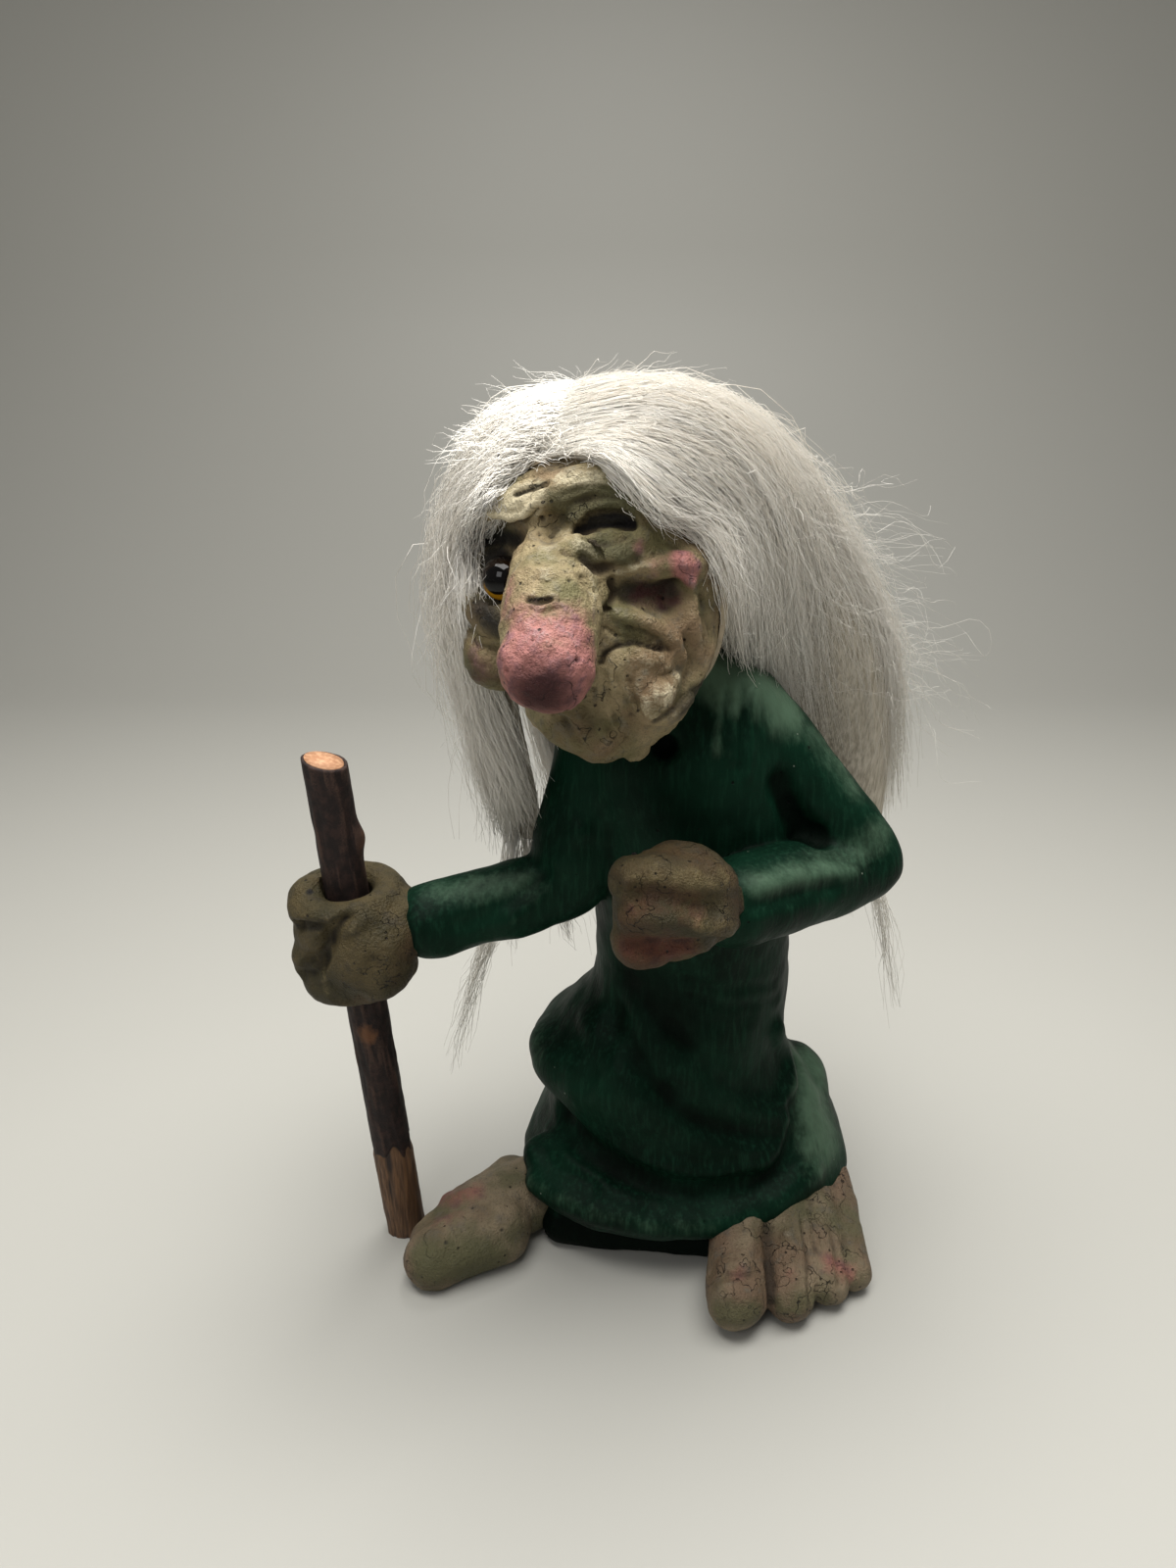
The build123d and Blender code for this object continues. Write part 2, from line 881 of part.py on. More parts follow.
with BuildPart() as eye_pupil:
    with BuildSketch(eye_plane):
        Circle(pupil_radius)
    extrude(amount=-iris_thickness)

with BuildPart() as eye_pin:
    add(pin)

# The pelt glued to the skull, and the hair it carries
hairline = Plane(
    origin=at(hairline_x, hairline_y, hairline_z),
    z_dir=(hairline_way_x, hairline_way_y, hairline_way_z),
)
crown_inside = glue_gap + pelt_thickness + hair_gap
pelt = skull_form(glue_gap + pelt_thickness)
crown = crown_form()
pelt_room = skull_form(crown_inside)
face_room = head_form(hair_gap)
dress_hair_room = dress_form(hair_gap)
hair_stops = [
    face_room,
    pelt_room,
    dress_hair_room,
    left_sleeve_form(hair_gap),
    right_sleeve_form(hair_gap),
]

with BuildPart() as hair_pelt:
    add(pelt)
    cut(head_room, dress_room, neck_hole)
    split(bisect_by=hairline, keep=Keep.BOTTOM)

with BuildPart() as hair_crown:
    add(crown)
    cut(pelt_room, face_room, dress_hair_room)
    split(bisect_by=hairline, keep=Keep.BOTTOM)
    split(bisect_by=Plane.XY.offset(crown_low_end), keep=Keep.TOP)
print("crown ready")

left_curtain = lock_form(left_curtain_rings)
right_curtain = lock_form(right_curtain_rings)
back = lock_form(back_rings)
left_wisp = lock_form(left_wisp_rings)
right_wisp = lock_form(right_wisp_rings)
print("locks ready")

with BuildPart() as hair_left_curtain:
    add(left_curtain)
    cut(*hair_stops)
    cut(hair_crown.part)

with BuildPart() as hair_right_curtain:
    add(right_curtain)
    cut(*hair_stops)
    cut(hair_crown.part)

with BuildPart() as hair_back:
    add(back)
    cut(*hair_stops)
    cut(hair_crown.part, left_curtain, right_curtain)

with BuildPart() as hair_left_wisp:
    add(left_wisp)
    cut(*hair_stops)
    cut(left_curtain, back)

with BuildPart() as hair_right_wisp:
    add(right_wisp)
    cut(*hair_stops)
    cut(right_curtain, back)
print("hair ready")

# The twig: bare wood that is thicker where the bark has come away, bark above, and two knots
twig_end = twig_foot + twig_way * twig_stock_length
peel = twig_foot + twig_way * bark_low_end
below = twig_foot - twig_way * twig_stock_below
wood = joined(
    rod(below, twig_end, twig_radius - bark_thickness - bark_fit),
    rod(below, peel, twig_radius),
)
bark = carved(rod(peel, twig_end, twig_radius), rod(below, twig_end, twig_radius - bark_thickness))
cut_end = Plane(origin=twig_top, z_dir=twig_way + Vector(twig_cut_lean, 0, 0))

with BuildPart() as stick_wood:
    add(wood)
    split(bisect_by=Plane.XY, keep=Keep.TOP)
    split(bisect_by=cut_end, keep=Keep.BOTTOM)

with BuildPart() as stick_bark:
    add(bark)
    split(bisect_by=cut_end, keep=Keep.BOTTOM)

knot_seat = rod(below, twig_end, twig_radius + bark_fit)
upper_way = Vector(0, 1, 0).cross(twig_way).normalized()
upper_place = twig_foot + twig_way * upper_knot_height
upper_place += upper_way * (twig_radius + upper_knot_stand - upper_knot_radius)
upper_knot = egg(upper_place, twig_way, knot_stretch * upper_knot_radius, upper_knot_radius)
lower_way = Vector(1, 0, 0).cross(twig_way).normalized()
lower_place = twig_foot + twig_way * lower_knot_height
lower_place += lower_way * (twig_radius + lower_knot_stand - lower_knot_radius)
lower_knot = egg(lower_place, twig_way, knot_stretch * lower_knot_radius, lower_knot_radius)

with BuildPart() as stick_knots:
    add([upper_knot, lower_knot])
    cut(knot_seat)
print("twig ready")

pieces = {
    "dress_shell": dress_shell,
    "body_filling": body_filling,
    "base_plug": base_plug,
    "left_sleeve": left_sleeve,
    "right_sleeve": right_sleeve,
    "left_arm_wire": left_arm_wire,
    "right_arm_wire": right_arm_wire,
    "left_hand": left_hand,
    "right_hand": right_hand,
    "left_foot": left_foot,
    "right_foot": right_foot,
    "left_leg_peg": left_leg_peg,
    "right_leg_peg": right_leg_peg,
    "head_shell": head_shell,
    "head_filling": head_filling,
    "neck_dowel": neck_dowel,
    "eye_glass": eye_glass,
    "eye_iris": eye_iris,
    "eye_pupil": eye_pupil,
    "eye_pin": eye_pin,
    "hair_pelt": hair_pelt,
    "hair_crown": hair_crown,
    "hair_left_curtain": hair_left_curtain,
    "hair_right_curtain": hair_right_curtain,
    "hair_back": hair_back,
    "hair_left_wisp": hair_left_wisp,
    "hair_right_wisp": hair_right_wisp,
    "stick_wood": stick_wood,
    "stick_bark": stick_bark,
    "stick_knots": stick_knots,
}
os.makedirs("parts", exist_ok=True)
for name, piece in pieces.items():
    piece.part.label = name
    export_step(piece.part, f"parts/{name}.step")
    box = piece.part.bounding_box()
    print(f"{name}: {len(piece.part.solids())} solids, {piece.part.volume:.0f} mm3,"
          f" x {box.min.X:.1f}..{box.max.X:.1f}, y {box.min.Y:.1f}..{box.max.Y:.1f},"
          f" z {box.min.Z:.1f}..{box.max.Z:.1f}")
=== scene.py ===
import math

import bpy
import mathutils
import numpy as np
from mathutils.bvhtree import BVHTree
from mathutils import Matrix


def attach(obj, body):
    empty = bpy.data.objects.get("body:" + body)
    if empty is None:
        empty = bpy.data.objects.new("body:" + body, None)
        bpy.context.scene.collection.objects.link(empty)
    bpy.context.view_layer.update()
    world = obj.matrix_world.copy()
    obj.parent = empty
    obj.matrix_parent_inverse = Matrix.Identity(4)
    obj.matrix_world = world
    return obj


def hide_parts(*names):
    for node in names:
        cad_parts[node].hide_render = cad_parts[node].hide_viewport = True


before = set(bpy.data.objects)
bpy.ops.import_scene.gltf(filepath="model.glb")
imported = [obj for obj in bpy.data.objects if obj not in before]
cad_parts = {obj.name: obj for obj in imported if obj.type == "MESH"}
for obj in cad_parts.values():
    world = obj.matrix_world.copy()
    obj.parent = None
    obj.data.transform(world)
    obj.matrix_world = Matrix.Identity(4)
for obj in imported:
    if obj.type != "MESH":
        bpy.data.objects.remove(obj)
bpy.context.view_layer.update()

# Points are in millimetres from the middle of the stance, as the solids are; the frame is in metres.
stance = np.array([-4.8, 6.5, 0.0])
photo = {"wide": 1200, "high": 1600, "focal": 1180.0, "pitch": 20.0, "eye": (-6.0, -245.0, 210.0),
         "sensor": 36.0, "subject": 230.0}
fullTurn = 2 * math.pi


def toFrame(points):
    return (np.asarray(points, float) + stance) / 1000


def unit(vectors):
    vectors = np.asarray(vectors, float)
    return vectors / np.maximum(np.linalg.norm(vectors, axis=-1, keepdims=True), 1e-9)


def addCamera():
    bpy.ops.object.camera_add(location=toFrame(photo["eye"]))
    camera = bpy.context.object
    camera.name = "photoCamera"
    camera.rotation_euler = (math.radians(90 - photo["pitch"]), 0, 0)
    camera.data.sensor_width = photo["sensor"]
    camera.data.lens = photo["sensor"] * photo["focal"] / photo["high"]
    camera.data.clip_start = 0.01
    bpy.context.scene.camera = camera


def photoRay(x, y):  # where the camera is, and the way it looks through one pixel of the photograph
    pitch = math.radians(photo["pitch"])
    forward = np.array([0, math.cos(pitch), -math.sin(pitch)])
    up = np.array([0, math.sin(pitch), math.cos(pitch)])
    right = np.array([1.0, 0, 0])
    across = (x - photo["wide"] / 2) / photo["focal"]
    down = (y - photo["high"] / 2) / photo["focal"]
    return np.array(photo["eye"]), unit(forward + right * across - up * down)


def grain(points, size, seed, cells=32):  # smooth random field, -1 to 1, with lumps of about this size
    table = np.random.default_rng(seed).uniform(-1, 1, (cells, cells, cells))
    p = np.asarray(points, float) / size + 16 * cells
    low = np.floor(p).astype(int)
    part = p - low
    part = part * part * (3 - 2 * part)
    total = 0.0
    for corner in range(8):
        bit = np.array([corner & 1, corner >> 1 & 1, corner >> 2 & 1])
        share = np.prod(np.where(bit, part, 1 - part), axis=1)
        at = (low + bit) % cells
        total = total + share * table[at[:, 0], at[:, 1], at[:, 2]]
    return total


def rounded(points, count):  # even points on a smooth line through the given ones
    p = np.asarray(points, float)
    p = np.vstack([2 * p[0] - p[1], p, 2 * p[-1] - p[-2]])
    spans = len(p) - 3
    t = np.linspace(0, spans, count)
    i = np.minimum(t.astype(int), spans - 1)
    f = (t - i)[:, None]
    a, b, c, d = p[i], p[i + 1], p[i + 2], p[i + 3]
    return 0.5 * (2 * b + (c - a) * f + (2 * a - 5 * b + 4 * c - d) * f ** 2
                  + (3 * b - a - 3 * c + d) * f ** 3)


def tubeFaces(rows, around):
    k = np.arange(around)
    n = (k + 1) % around
    row = np.arange(rows - 1)[:, None] * around
    return np.stack([row + k, row + n, row + around + n, row + around + k], -1).reshape(-1, 4)


def linkMesh(mesh):
    mesh.validate()
    piece = bpy.data.objects.new(mesh.name, mesh)
    bpy.context.scene.collection.objects.link(piece)
    return piece


def smoothFaces(mesh):
    mesh.polygons.foreach_set("use_smooth", np.ones(len(mesh.polygons), bool))


def newMesh(name, points, faces):  # faces with any number of corners
    mesh = bpy.data.meshes.new(name)
    mesh.from_pydata(toFrame(points).tolist(), [], [list(map(int, face)) for face in faces])
    return linkMesh(mesh)


def bulkMesh(name, points, quads, tris=()):  # many faces at once
    quads, tris = np.asarray(quads, np.int32), np.asarray(tris, np.int32).reshape(-1, 3)
    mesh = bpy.data.meshes.new(name)
    mesh.vertices.add(len(points))
    mesh.vertices.foreach_set("co", toFrame(points).ravel())
    corners = np.concatenate([quads.ravel(), tris.ravel()])
    mesh.loops.add(len(corners))
    mesh.loops.foreach_set("vertex_index", corners)
    starts = np.concatenate([4 * np.arange(len(quads)), 4 * len(quads) + 3 * np.arange(len(tris))])
    mesh.polygons.add(len(starts))
    mesh.polygons.foreach_set("loop_start", starts.astype(np.int32))
    smoothFaces(mesh)
    mesh.update(calc_edges=True)
    return linkMesh(mesh)


def writeValues(piece, values):
    for name, numbers in values.items():
        layer = piece.data.attributes.new(name, "FLOAT", "POINT")
        layer.data.foreach_set("value", np.asarray(numbers, np.float32))


def unitBall(add, **shape):  # points and faces of a ball that one of Blender's own operators makes
    add(radius=1.0, **shape)
    ball = bpy.context.object
    points = np.array([v.co[:] for v in ball.data.vertices])
    faces = [p.vertices[:] for p in ball.data.polygons]
    bpy.data.objects.remove(ball, do_unlink=True)
    return points, faces


def seat(piece, finish, body, slot, *nodes):
    piece.data.materials.clear()
    piece.data.materials.append(finish)
    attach(piece, body)
    if nodes:
        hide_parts(*nodes)


ballPoints, ballFaces = unitBall(bpy.ops.mesh.primitive_ico_sphere_add, subdivisions=4)
brushes = ("blush", "dark", "pale", "moss")
# the hollow and crest measures: darker hollows are dark washes of paint and painted shade, lighter crests
# drybrush paint and painted highlight
wear = {"fine": 6, "broad": 40, "near": 0.25, "hollow": 1.2, "crest": 1.3, "even": 2,
        "washShade": (0.45, 0.6), "drySheen": (0.25, 0.45)}


class Casting:  # clay that is put together from lumps, remeshed, and worked with strokes
    def __init__(self, name, voxel):
        self.name, self.voxel = name, voxel
        self.points, self.faces, self.count = [], [], 0
        self.values = {}

    def put(self, points, faces):
        self.points.append(points)
        self.faces += [[index + self.count for index in face] for face in faces]
        self.count += len(points)

    def lump(self, x, y, z, rx, ry, rz):
        self.put(ballPoints * (rx, ry, rz) + (x, y, z), ballFaces)

    def tube(self, *stops, beads=10):  # stops are x, y, z, radius
        for x, y, z, radius in rounded(stops, beads * len(stops)):
            self.lump(x, y, z, radius, radius, radius)

    def loft(self, points, rows, around):  # a closed tube from rings of points
        ends = [list(range(around))[::-1], list(range((rows - 1) * around, rows * around))]
        self.put(points, tubeFaces(rows, around).tolist() + ends)

    def rings(self, rows, around=64, steps=60):  # rows are height, middle x and y, width and depth
        angle = np.linspace(0, fullTurn, around, endpoint=False)
        points = []
        for z, x, y, width, depth in rounded(rows, steps):
            points.append(np.stack([x + width / 2 * np.cos(angle), y + depth / 2 * np.sin(angle),
                                    np.full(around, z)], 1))
        self.loft(np.vstack(points), steps, around)

    def assemble(self, plan):  # adds a plan's lumps and tubes, makes one skin of it all and works it
        for row in plan.get("lumps", ()):
            self.lump(*row)
        for stops in plan["tubes"]:
            self.tube(*stops)
        self.remesh(plan["soften"])
        self.strokes(plan["strokes"])

    def remesh(self, times):
        self.piece = newMesh(self.name, np.vstack(self.points), self.faces)
        bpy.ops.object.select_all(action="DESELECT")
        self.piece.select_set(True)
        bpy.context.view_layer.objects.active = self.piece
        self.piece.data.remesh_voxel_size = self.voxel / 1000
        bpy.ops.object.voxel_remesh()
        mesh = self.piece.data
        self.size = len(mesh.vertices)
        self.co = np.empty(self.size * 3)
        mesh.vertices.foreach_get("co", self.co)
        self.co = self.co.reshape(-1, 3) * 1000 - stance
        edges = np.empty(len(mesh.edges) * 2, int)
        mesh.edges.foreach_get("vertices", edges)
        self.edges = edges.reshape(-1, 2)
        self.degree = np.maximum(np.bincount(self.edges.ravel(), minlength=self.size), 1)
        self.polygons = [tuple(p.vertices) for p in mesh.polygons]
        self.smooth(times)
        self.settle()

    def nearby(self, numbers):  # the mean of each point's neighbours
        i, j = self.edges.T
        total = np.bincount(i, numbers[j], self.size) + np.bincount(j, numbers[i], self.size)
        return total / self.degree

    def smooth(self, times):
        for _ in range(times):
            self.co += 0.5 * (np.stack([self.nearby(axis) for axis in self.co.T], 1) - self.co)

    def spread(self, numbers):  # evens a painted value out over its neighbours
        for _ in range(wear["even"]):
            numbers = 0.5 * numbers + 0.5 * self.nearby(numbers)
        return numbers

    def settle(self):  # writes the points back and reads the normals
        mesh = self.piece.data
        mesh.vertices.foreach_set("co", toFrame(self.co).ravel())
        mesh.update()
        normals = np.empty(self.size * 3)
        mesh.vertex_normals.foreach_get("vector", normals)
        self.normal = normals.reshape(-1, 3)
        self.tree = None

    def seen(self, x, y):  # the point of the clay that shows at a pixel of the photograph
        if self.tree is None:
            self.tree = BVHTree.FromPolygons(self.co.tolist(), self.polygons)
        eye, way = photoRay(x, y)
        hit = self.tree.ray_cast(eye.tolist(), way.tolist())[0]
        if hit is None:
            hit = self.tree.find_nearest((eye + way * photo["subject"]).tolist())[0]
        return np.array(hit)

    def trace(self, pixels, finer=6):
        pixels = np.asarray(pixels, float)
        if len(pixels) > 1:
            pixels = rounded(pixels, finer * len(pixels))
        return np.array([self.seen(x, y) for x, y in pixels])

    def distance(self, path):
        path = np.asarray(path, float)
        if len(path) == 1:
            return np.linalg.norm(self.co - path[0], axis=1)
        best = np.full(self.size, np.inf)
        for a, b in zip(path[:-1], path[1:]):
            ab = b - a
            t = np.clip((self.co - a) @ ab / max(ab @ ab, 1e-9), 0, 1)
            best = np.minimum(best, ((self.co - a - t[:, None] * ab) ** 2).sum(1))
        return np.sqrt(best)

    def stroke(self, path, radius, depth):  # a ridge, or a groove where depth is below nought
        share = np.clip(1 - (self.distance(path) / radius) ** 2, 0, 1) ** 2
        self.co += self.normal * (depth * share)[:, None]

    def strokes(self, rows):  # rows are a pixel path, a radius and a depth
        paths = [(self.trace(pixels), radius, depth) for pixels, radius, depth in rows]
        for path, radius, depth in paths:
            self.stroke(path, radius, depth)
        self.settle()

    def texture(self, plan):
        for size, depth, seed in plan["rough"]:
            self.co += self.normal * (depth * grain(self.co, size, seed))[:, None]

    def dab(self, name, path, radius, strength):
        share = np.clip(1 - (self.distance(path) / radius) ** 2, 0, 1) ** 1.5
        old = self.values.get(name, np.zeros(self.size))
        self.values[name] = np.maximum(old, strength * share)

    def paint(self, plan):  # rows are a pixel path, a radius and a strength
        for name in brushes:
            for pixels, radius, strength in plan.get(name, ()):
                self.dab(name, self.trace(pixels), radius, strength)

    def pits(self, count, radius, depth, size, stain, seed):  # pinholes left by bubbles in the casting
        rng = np.random.default_rng(seed)
        for spot in rng.integers(0, self.size, count):
            wide = rng.uniform(*size)
            self.stroke([self.co[spot]], radius * wide, depth * wide)
            self.dab("dark", [self.co[spot]], radius * wide * 0.9, rng.uniform(*stain))

    def cover(self, node, gap, reach=6.0):  # keeps the wall outside the filling that it holds
        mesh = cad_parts[node].data
        points = [(np.array(v.co) * 1000 - stance).tolist() for v in mesh.vertices]
        tree = BVHTree.FromPolygons(points, [tuple(p.vertices) for p in mesh.polygons])
        for index, point in enumerate(self.co):
            place, normal, _, away = tree.find_nearest(point.tolist(), reach)
            if place is None:
                continue
            outside = np.dot(point - np.array(place), np.array(normal)) >= 0
            if away < gap or not outside:
                self.co[index] = np.array(place) + gap * np.array(normal)

    def stand(self):  # nothing goes below the floor
        self.co[:, 2] = np.maximum(self.co[:, 2], 0.0)

    def lift(self, times):  # how far each point stands above its surroundings
        kept = self.co.copy()
        self.smooth(times)
        above = ((kept - self.co) * self.normal).sum(1)
        self.co = kept
        return above

    def wearShadeAndSheen(self, broad=wear["broad"]):  # dark washes and painted shade in the hollows, drybrush paint and painted highlight on the high places
        near, far = self.lift(wear["fine"]) / wear["near"], self.lift(broad)
        for name, sign, depth in (("washShade", -1, wear["hollow"]), ("drySheen", 1, wear["crest"])):
            small, large = wear[name]
            share = np.clip(sign * near, 0, 1) * small + np.clip(sign * far / depth, 0, 1) * large
            self.values[name] = self.spread(share)

    def finish(self, finish, slot, *nodes):
        self.settle()
        blank = np.zeros(self.size)
        writeValues(self.piece, {name: self.values.get(name, blank) for name in ("washShade", "drySheen", *brushes)})
        smoothFaces(self.piece.data)
        seat(self.piece, finish, "figure", slot, *nodes)


class Wire:  # a socket in a node tree, with arithmetic
    def __init__(self, build, socket):
        self.build, self.socket = build, socket

    def math(self, operation, *others):
        values = dict(enumerate((self,) + others))
        return self.build.add("ShaderNodeMath", {"operation": operation}, values)

    def __add__(self, other):
        return self.math("ADD", other)

    def __sub__(self, other):
        return self.math("SUBTRACT", other)

    def __rsub__(self, other):
        return self.build.add("ShaderNodeMath", {"operation": "SUBTRACT"}, {0: other, 1: self})

    def __mul__(self, other):
        return self.math("MULTIPLY", other)

    __radd__ = __add__


class Finish:  # a material being put together
    def __init__(self, name):
        self.material = bpy.data.materials.new(name)
        self.material.use_nodes = True
        self.tree = self.material.node_tree
        self.shader = self.tree.nodes["Principled BSDF"]

    def join(self, socket, value):
        if isinstance(value, Wire):
            self.tree.links.new(value.socket, socket)
        else:
            socket.default_value = value

    def add(self, kind, settings, sockets, output=0):
        node = self.tree.nodes.new(kind)
        for name, value in settings.items():
            setattr(node, name, value)
        for key, value in sockets.items():
            self.join(node.inputs[key], value)
        return Wire(self, node.outputs[output])

    def place(self):
        return self.add("ShaderNodeTexCoord", {}, {}, output=3)

    def value(self, name):
        return self.add("ShaderNodeAttribute", {"attribute_name": name}, {}, output=2)

    def noise(self, scale, detail=4.0, rough=0.55, where=None):
        return self.add("ShaderNodeTexNoise", {}, {"Vector": where or self.place(), "Scale": scale,
                                                   "Detail": detail, "Roughness": rough})

    def fibre(self, stretch, detail, rough):  # noise that is drawn out along the height
        drawn = self.add("ShaderNodeMapping", {}, {"Vector": self.place(), "Scale": stretch})
        return self.noise(1.0, detail, rough, drawn)

    def dots(self, scale, inner, outer):  # round spots, 1 in the middle
        cells = self.add("ShaderNodeTexVoronoi", {}, {"Vector": self.place(), "Scale": scale})
        return 1 - self.step(cells, inner, outer)

    def step(self, value, low, high):
        return self.add("ShaderNodeMapRange", {"interpolation_type": "SMOOTHSTEP"},
                        {0: value, 1: low, 2: high, 3: 0.0, 4: 1.0})

    def mix(self, share, first, second):
        return self.add("ShaderNodeMix", {"data_type": "RGBA"}, {0: share, 6: first, 7: second}, output=2)

    def bump(self, height, strength, distance):
        return self.add("ShaderNodeBump", {}, {"Strength": strength, "Distance": distance,
                                               "Height": height})

    def wire(self, **sockets):
        for name, value in sockets.items():
            self.join(self.shader.inputs[name.replace("_", " ")], value)
        return self.material


def tone(red, green, blue):  # a colour as it is seen on a screen, 0 to 255, for a shader socket
    return tuple(((c / 255 + 0.055) / 1.055) ** 2.4 if c > 10 else c / 255 / 12.92
                 for c in (red, green, blue)) + (1.0,)


def toneTable(tones):
    return {name: tone(*rgb) for name, rgb in tones.items()}


skinTones = {
    "olive": (112, 106, 72), "khaki": (158, 142, 108), "brown": (118, 90, 68), "grey": (112, 106, 92),
    "moss": (84, 82, 56), "cream": (222, 210, 178), "washShade": (46, 34, 24), "blush": (170, 114, 108),
    "bruise": (142, 98, 100), "chalk": (206, 178, 173), "maroon": (46, 10, 12), "speck": (14, 12, 14)}
# The hands get a darker copy of the skin tones, as painted shade on hands that sit low in front.
handShadeTones = dict(
    skinTones, olive=(58, 53, 33), khaki=(82, 71, 45), brown=(76, 53, 35), grey=(56, 51, 40),
    cream=(130, 116, 80), washShade=(19, 14, 9), blush=(98, 46, 36), bruise=(72, 36, 29), chalk=(118, 72, 56))
footTones = dict(
    skinTones, olive=(92, 88, 64), khaki=(128, 114, 92), brown=(106, 82, 66), grey=(92, 88, 78),
    cream=(176, 162, 134), washShade=(36, 28, 20), blush=(150, 92, 84), bruise=(118, 76, 74),
    chalk=(178, 132, 122))
skinGrain = {"blotch": 42, "broad": 70, "mid": 330, "fine": 1900, "pins": 360, "cracks": 150,
             "crackled": 38}


def skinFinish(name, tones):
    f = Finish(name)
    c = toneTable(tones)
    blotch, broad = f.noise(skinGrain["blotch"], 4), f.noise(skinGrain["broad"], 5)
    mid, fine = f.noise(skinGrain["mid"], 5, 0.6), f.noise(skinGrain["fine"], 3, 0.6)
    base = f.mix(f.step(broad, 0.4, 0.6), c["olive"], c["khaki"])
    base = f.mix(f.step(blotch, 0.48, 0.66) * 0.7, base, c["brown"])
    base = f.mix(f.step(mid, 0.5, 0.7) * 0.6, base, c["grey"])
    moss = f.step(f.value("moss") + (mid - 0.5) * 0.8, 0.2, 0.8)
    base = f.mix(moss * 0.85, base, c["moss"])
    blush = f.step(f.value("blush") + (mid - 0.5) * 0.9 + (broad - 0.5) * 0.5, 0.15, 0.85)
    base = f.mix(blush, base, f.mix(f.step(mid, 0.45, 0.65), c["blush"], c["bruise"]))
    # drybrush paint and painted highlight on the crests, with the pale dabs
    drySheen = f.step(f.value("drySheen") + f.value("pale") + (fine - 0.5) * 0.9 + (mid - 0.5) * 0.8, 0.3, 1.0)
    base = f.mix(drySheen * 0.85, base, f.mix(blush, c["cream"], c["chalk"]))
    # dark washes of paint and painted shade in the hollows
    washShade = f.step(f.value("washShade") + (mid - 0.5) * 0.4, 0.1, 0.85)
    base = f.mix(washShade * 0.85, base, c["washShade"])
    base = f.mix(f.step(fine, 0.54, 0.72) * 0.45, base, c["washShade"])
    # dark dabs: cracks, the wink slit and marks, and also painted shade in holes, hollows and under
    # overhangs
    dark = f.step(f.value("dark") + (mid - 0.5) * 0.3, 0.12, 0.85)
    base = f.mix(dark * 0.94, base, f.mix(f.step(blush, 0.2, 0.6), c["speck"], c["maroon"]))
    pin = f.dots(skinGrain["pins"], 0.07, 0.13) * f.step(broad, 0.42, 0.5)
    line = (f.noise(skinGrain["cracks"], 3, 0.5) - 0.5).math("ABSOLUTE")
    crack = (1 - f.step(line, 0.0, 0.008)) * f.step(f.noise(skinGrain["crackled"], 2), 0.5, 0.6)
    base = f.mix(f.step(pin + crack, 0.2, 1.0) * 0.75, base, c["speck"])
    height = mid * 0.8 + fine * 0.5 - pin - crack * 0.8
    return f.wire(Base_Color=base, Roughness=0.6 - drySheen * 0.08 + washShade * 0.1, Specular_IOR_Level=0.28,
                  Normal=f.bump(height, 0.9, 0.0012))


dressTones = {"deep": (5, 24, 15), "green": (11, 41, 28), "brush": (26, 62, 45), "drySheen": (96, 122, 100),
              "washShade": (2, 8, 4), "speck": (8, 10, 8), "chip": (150, 160, 146)}
dressGrain = {"broad": 45, "mid": 260, "fine": 1700, "brush": (900.0, 900.0, 130.0), "pins": 210,
              "chips": 130}


def dressFinish():
    f = Finish("dressPaint")
    c = toneTable(dressTones)
    broad, mid = f.noise(dressGrain["broad"], 4), f.noise(dressGrain["mid"], 5, 0.6)
    fine, brush = f.noise(dressGrain["fine"], 3, 0.6), f.fibre(dressGrain["brush"], 3, 0.6)
    base = f.mix(f.step(broad, 0.35, 0.65), c["deep"], c["green"])
    base = f.mix(f.step(brush, 0.45, 0.7) * 0.4, base, c["brush"])
    # drybrush paint and pale dabs, partly painted highlight on the lit shoulder, sleeves, knee bulge, hem
    # roll and bustle
    wornAndLit = f.value("drySheen") * 0.7 + f.value("pale")
    drySheen = f.step(wornAndLit + (brush - 0.5) * 0.4 + (mid - 0.5) * 0.5, 0.3, 1.2)
    base = f.mix(drySheen * 0.7, base, c["drySheen"])
    # dark washes and painted shade in the hollows, with the dark dabs, which are painted shade
    washShade = f.step(f.value("washShade") + f.value("dark") + (mid - 0.5) * 0.3, 0.15, 0.95)
    base = f.mix(washShade * 0.9, base, c["washShade"])
    pin = f.dots(dressGrain["pins"], 0.05, 0.09) * f.step(broad, 0.5, 0.58)
    base = f.mix(pin * 0.8, base, c["speck"])
    base = f.mix(f.dots(dressGrain["chips"], 0.02, 0.035) * 0.7, base, c["chip"])
    height = mid * 0.5 + brush * 0.4 + fine * 0.2 - pin * 1.5
    return f.wire(Base_Color=base, Roughness=0.5 + washShade * 0.15 - drySheen * 0.05 + (mid - 0.5) * 0.2,
                  Specular_IOR_Level=0.06, Normal=f.bump(height, 0.5, 0.0007))


hairTones = {"grey": (246, 239, 228), "white": (255, 253, 248), "tip": (206, 195, 176),
             "deep": (170, 160, 142), "mass": (214, 205, 189)}
massFibre = (1500.0, 1500.0, 45.0)


def hairFinish():
    f = Finish("paleHair")
    c = toneTable(hairTones)
    base = f.mix(f.value("strand"), c["grey"], c["white"])
    base = f.mix(f.step(f.value("along"), 0.2, 1.0) * 0.16, base, c["tip"])
    return f.wire(Base_Color=base, Roughness=0.48, Specular_IOR_Level=0.5)


def massFinish():
    f = Finish("hairMass")
    c = toneTable(hairTones)
    fibre = f.fibre(massFibre, 3, 0.5)
    # painted shade: the mass is a darker beige than the strands, for the hair deep in the locks
    base = f.mix(f.step(fibre, 0.3, 0.7), c["deep"], c["mass"])
    return f.wire(Base_Color=base, Roughness=0.65, Normal=f.bump(fibre, 0.8, 0.001))


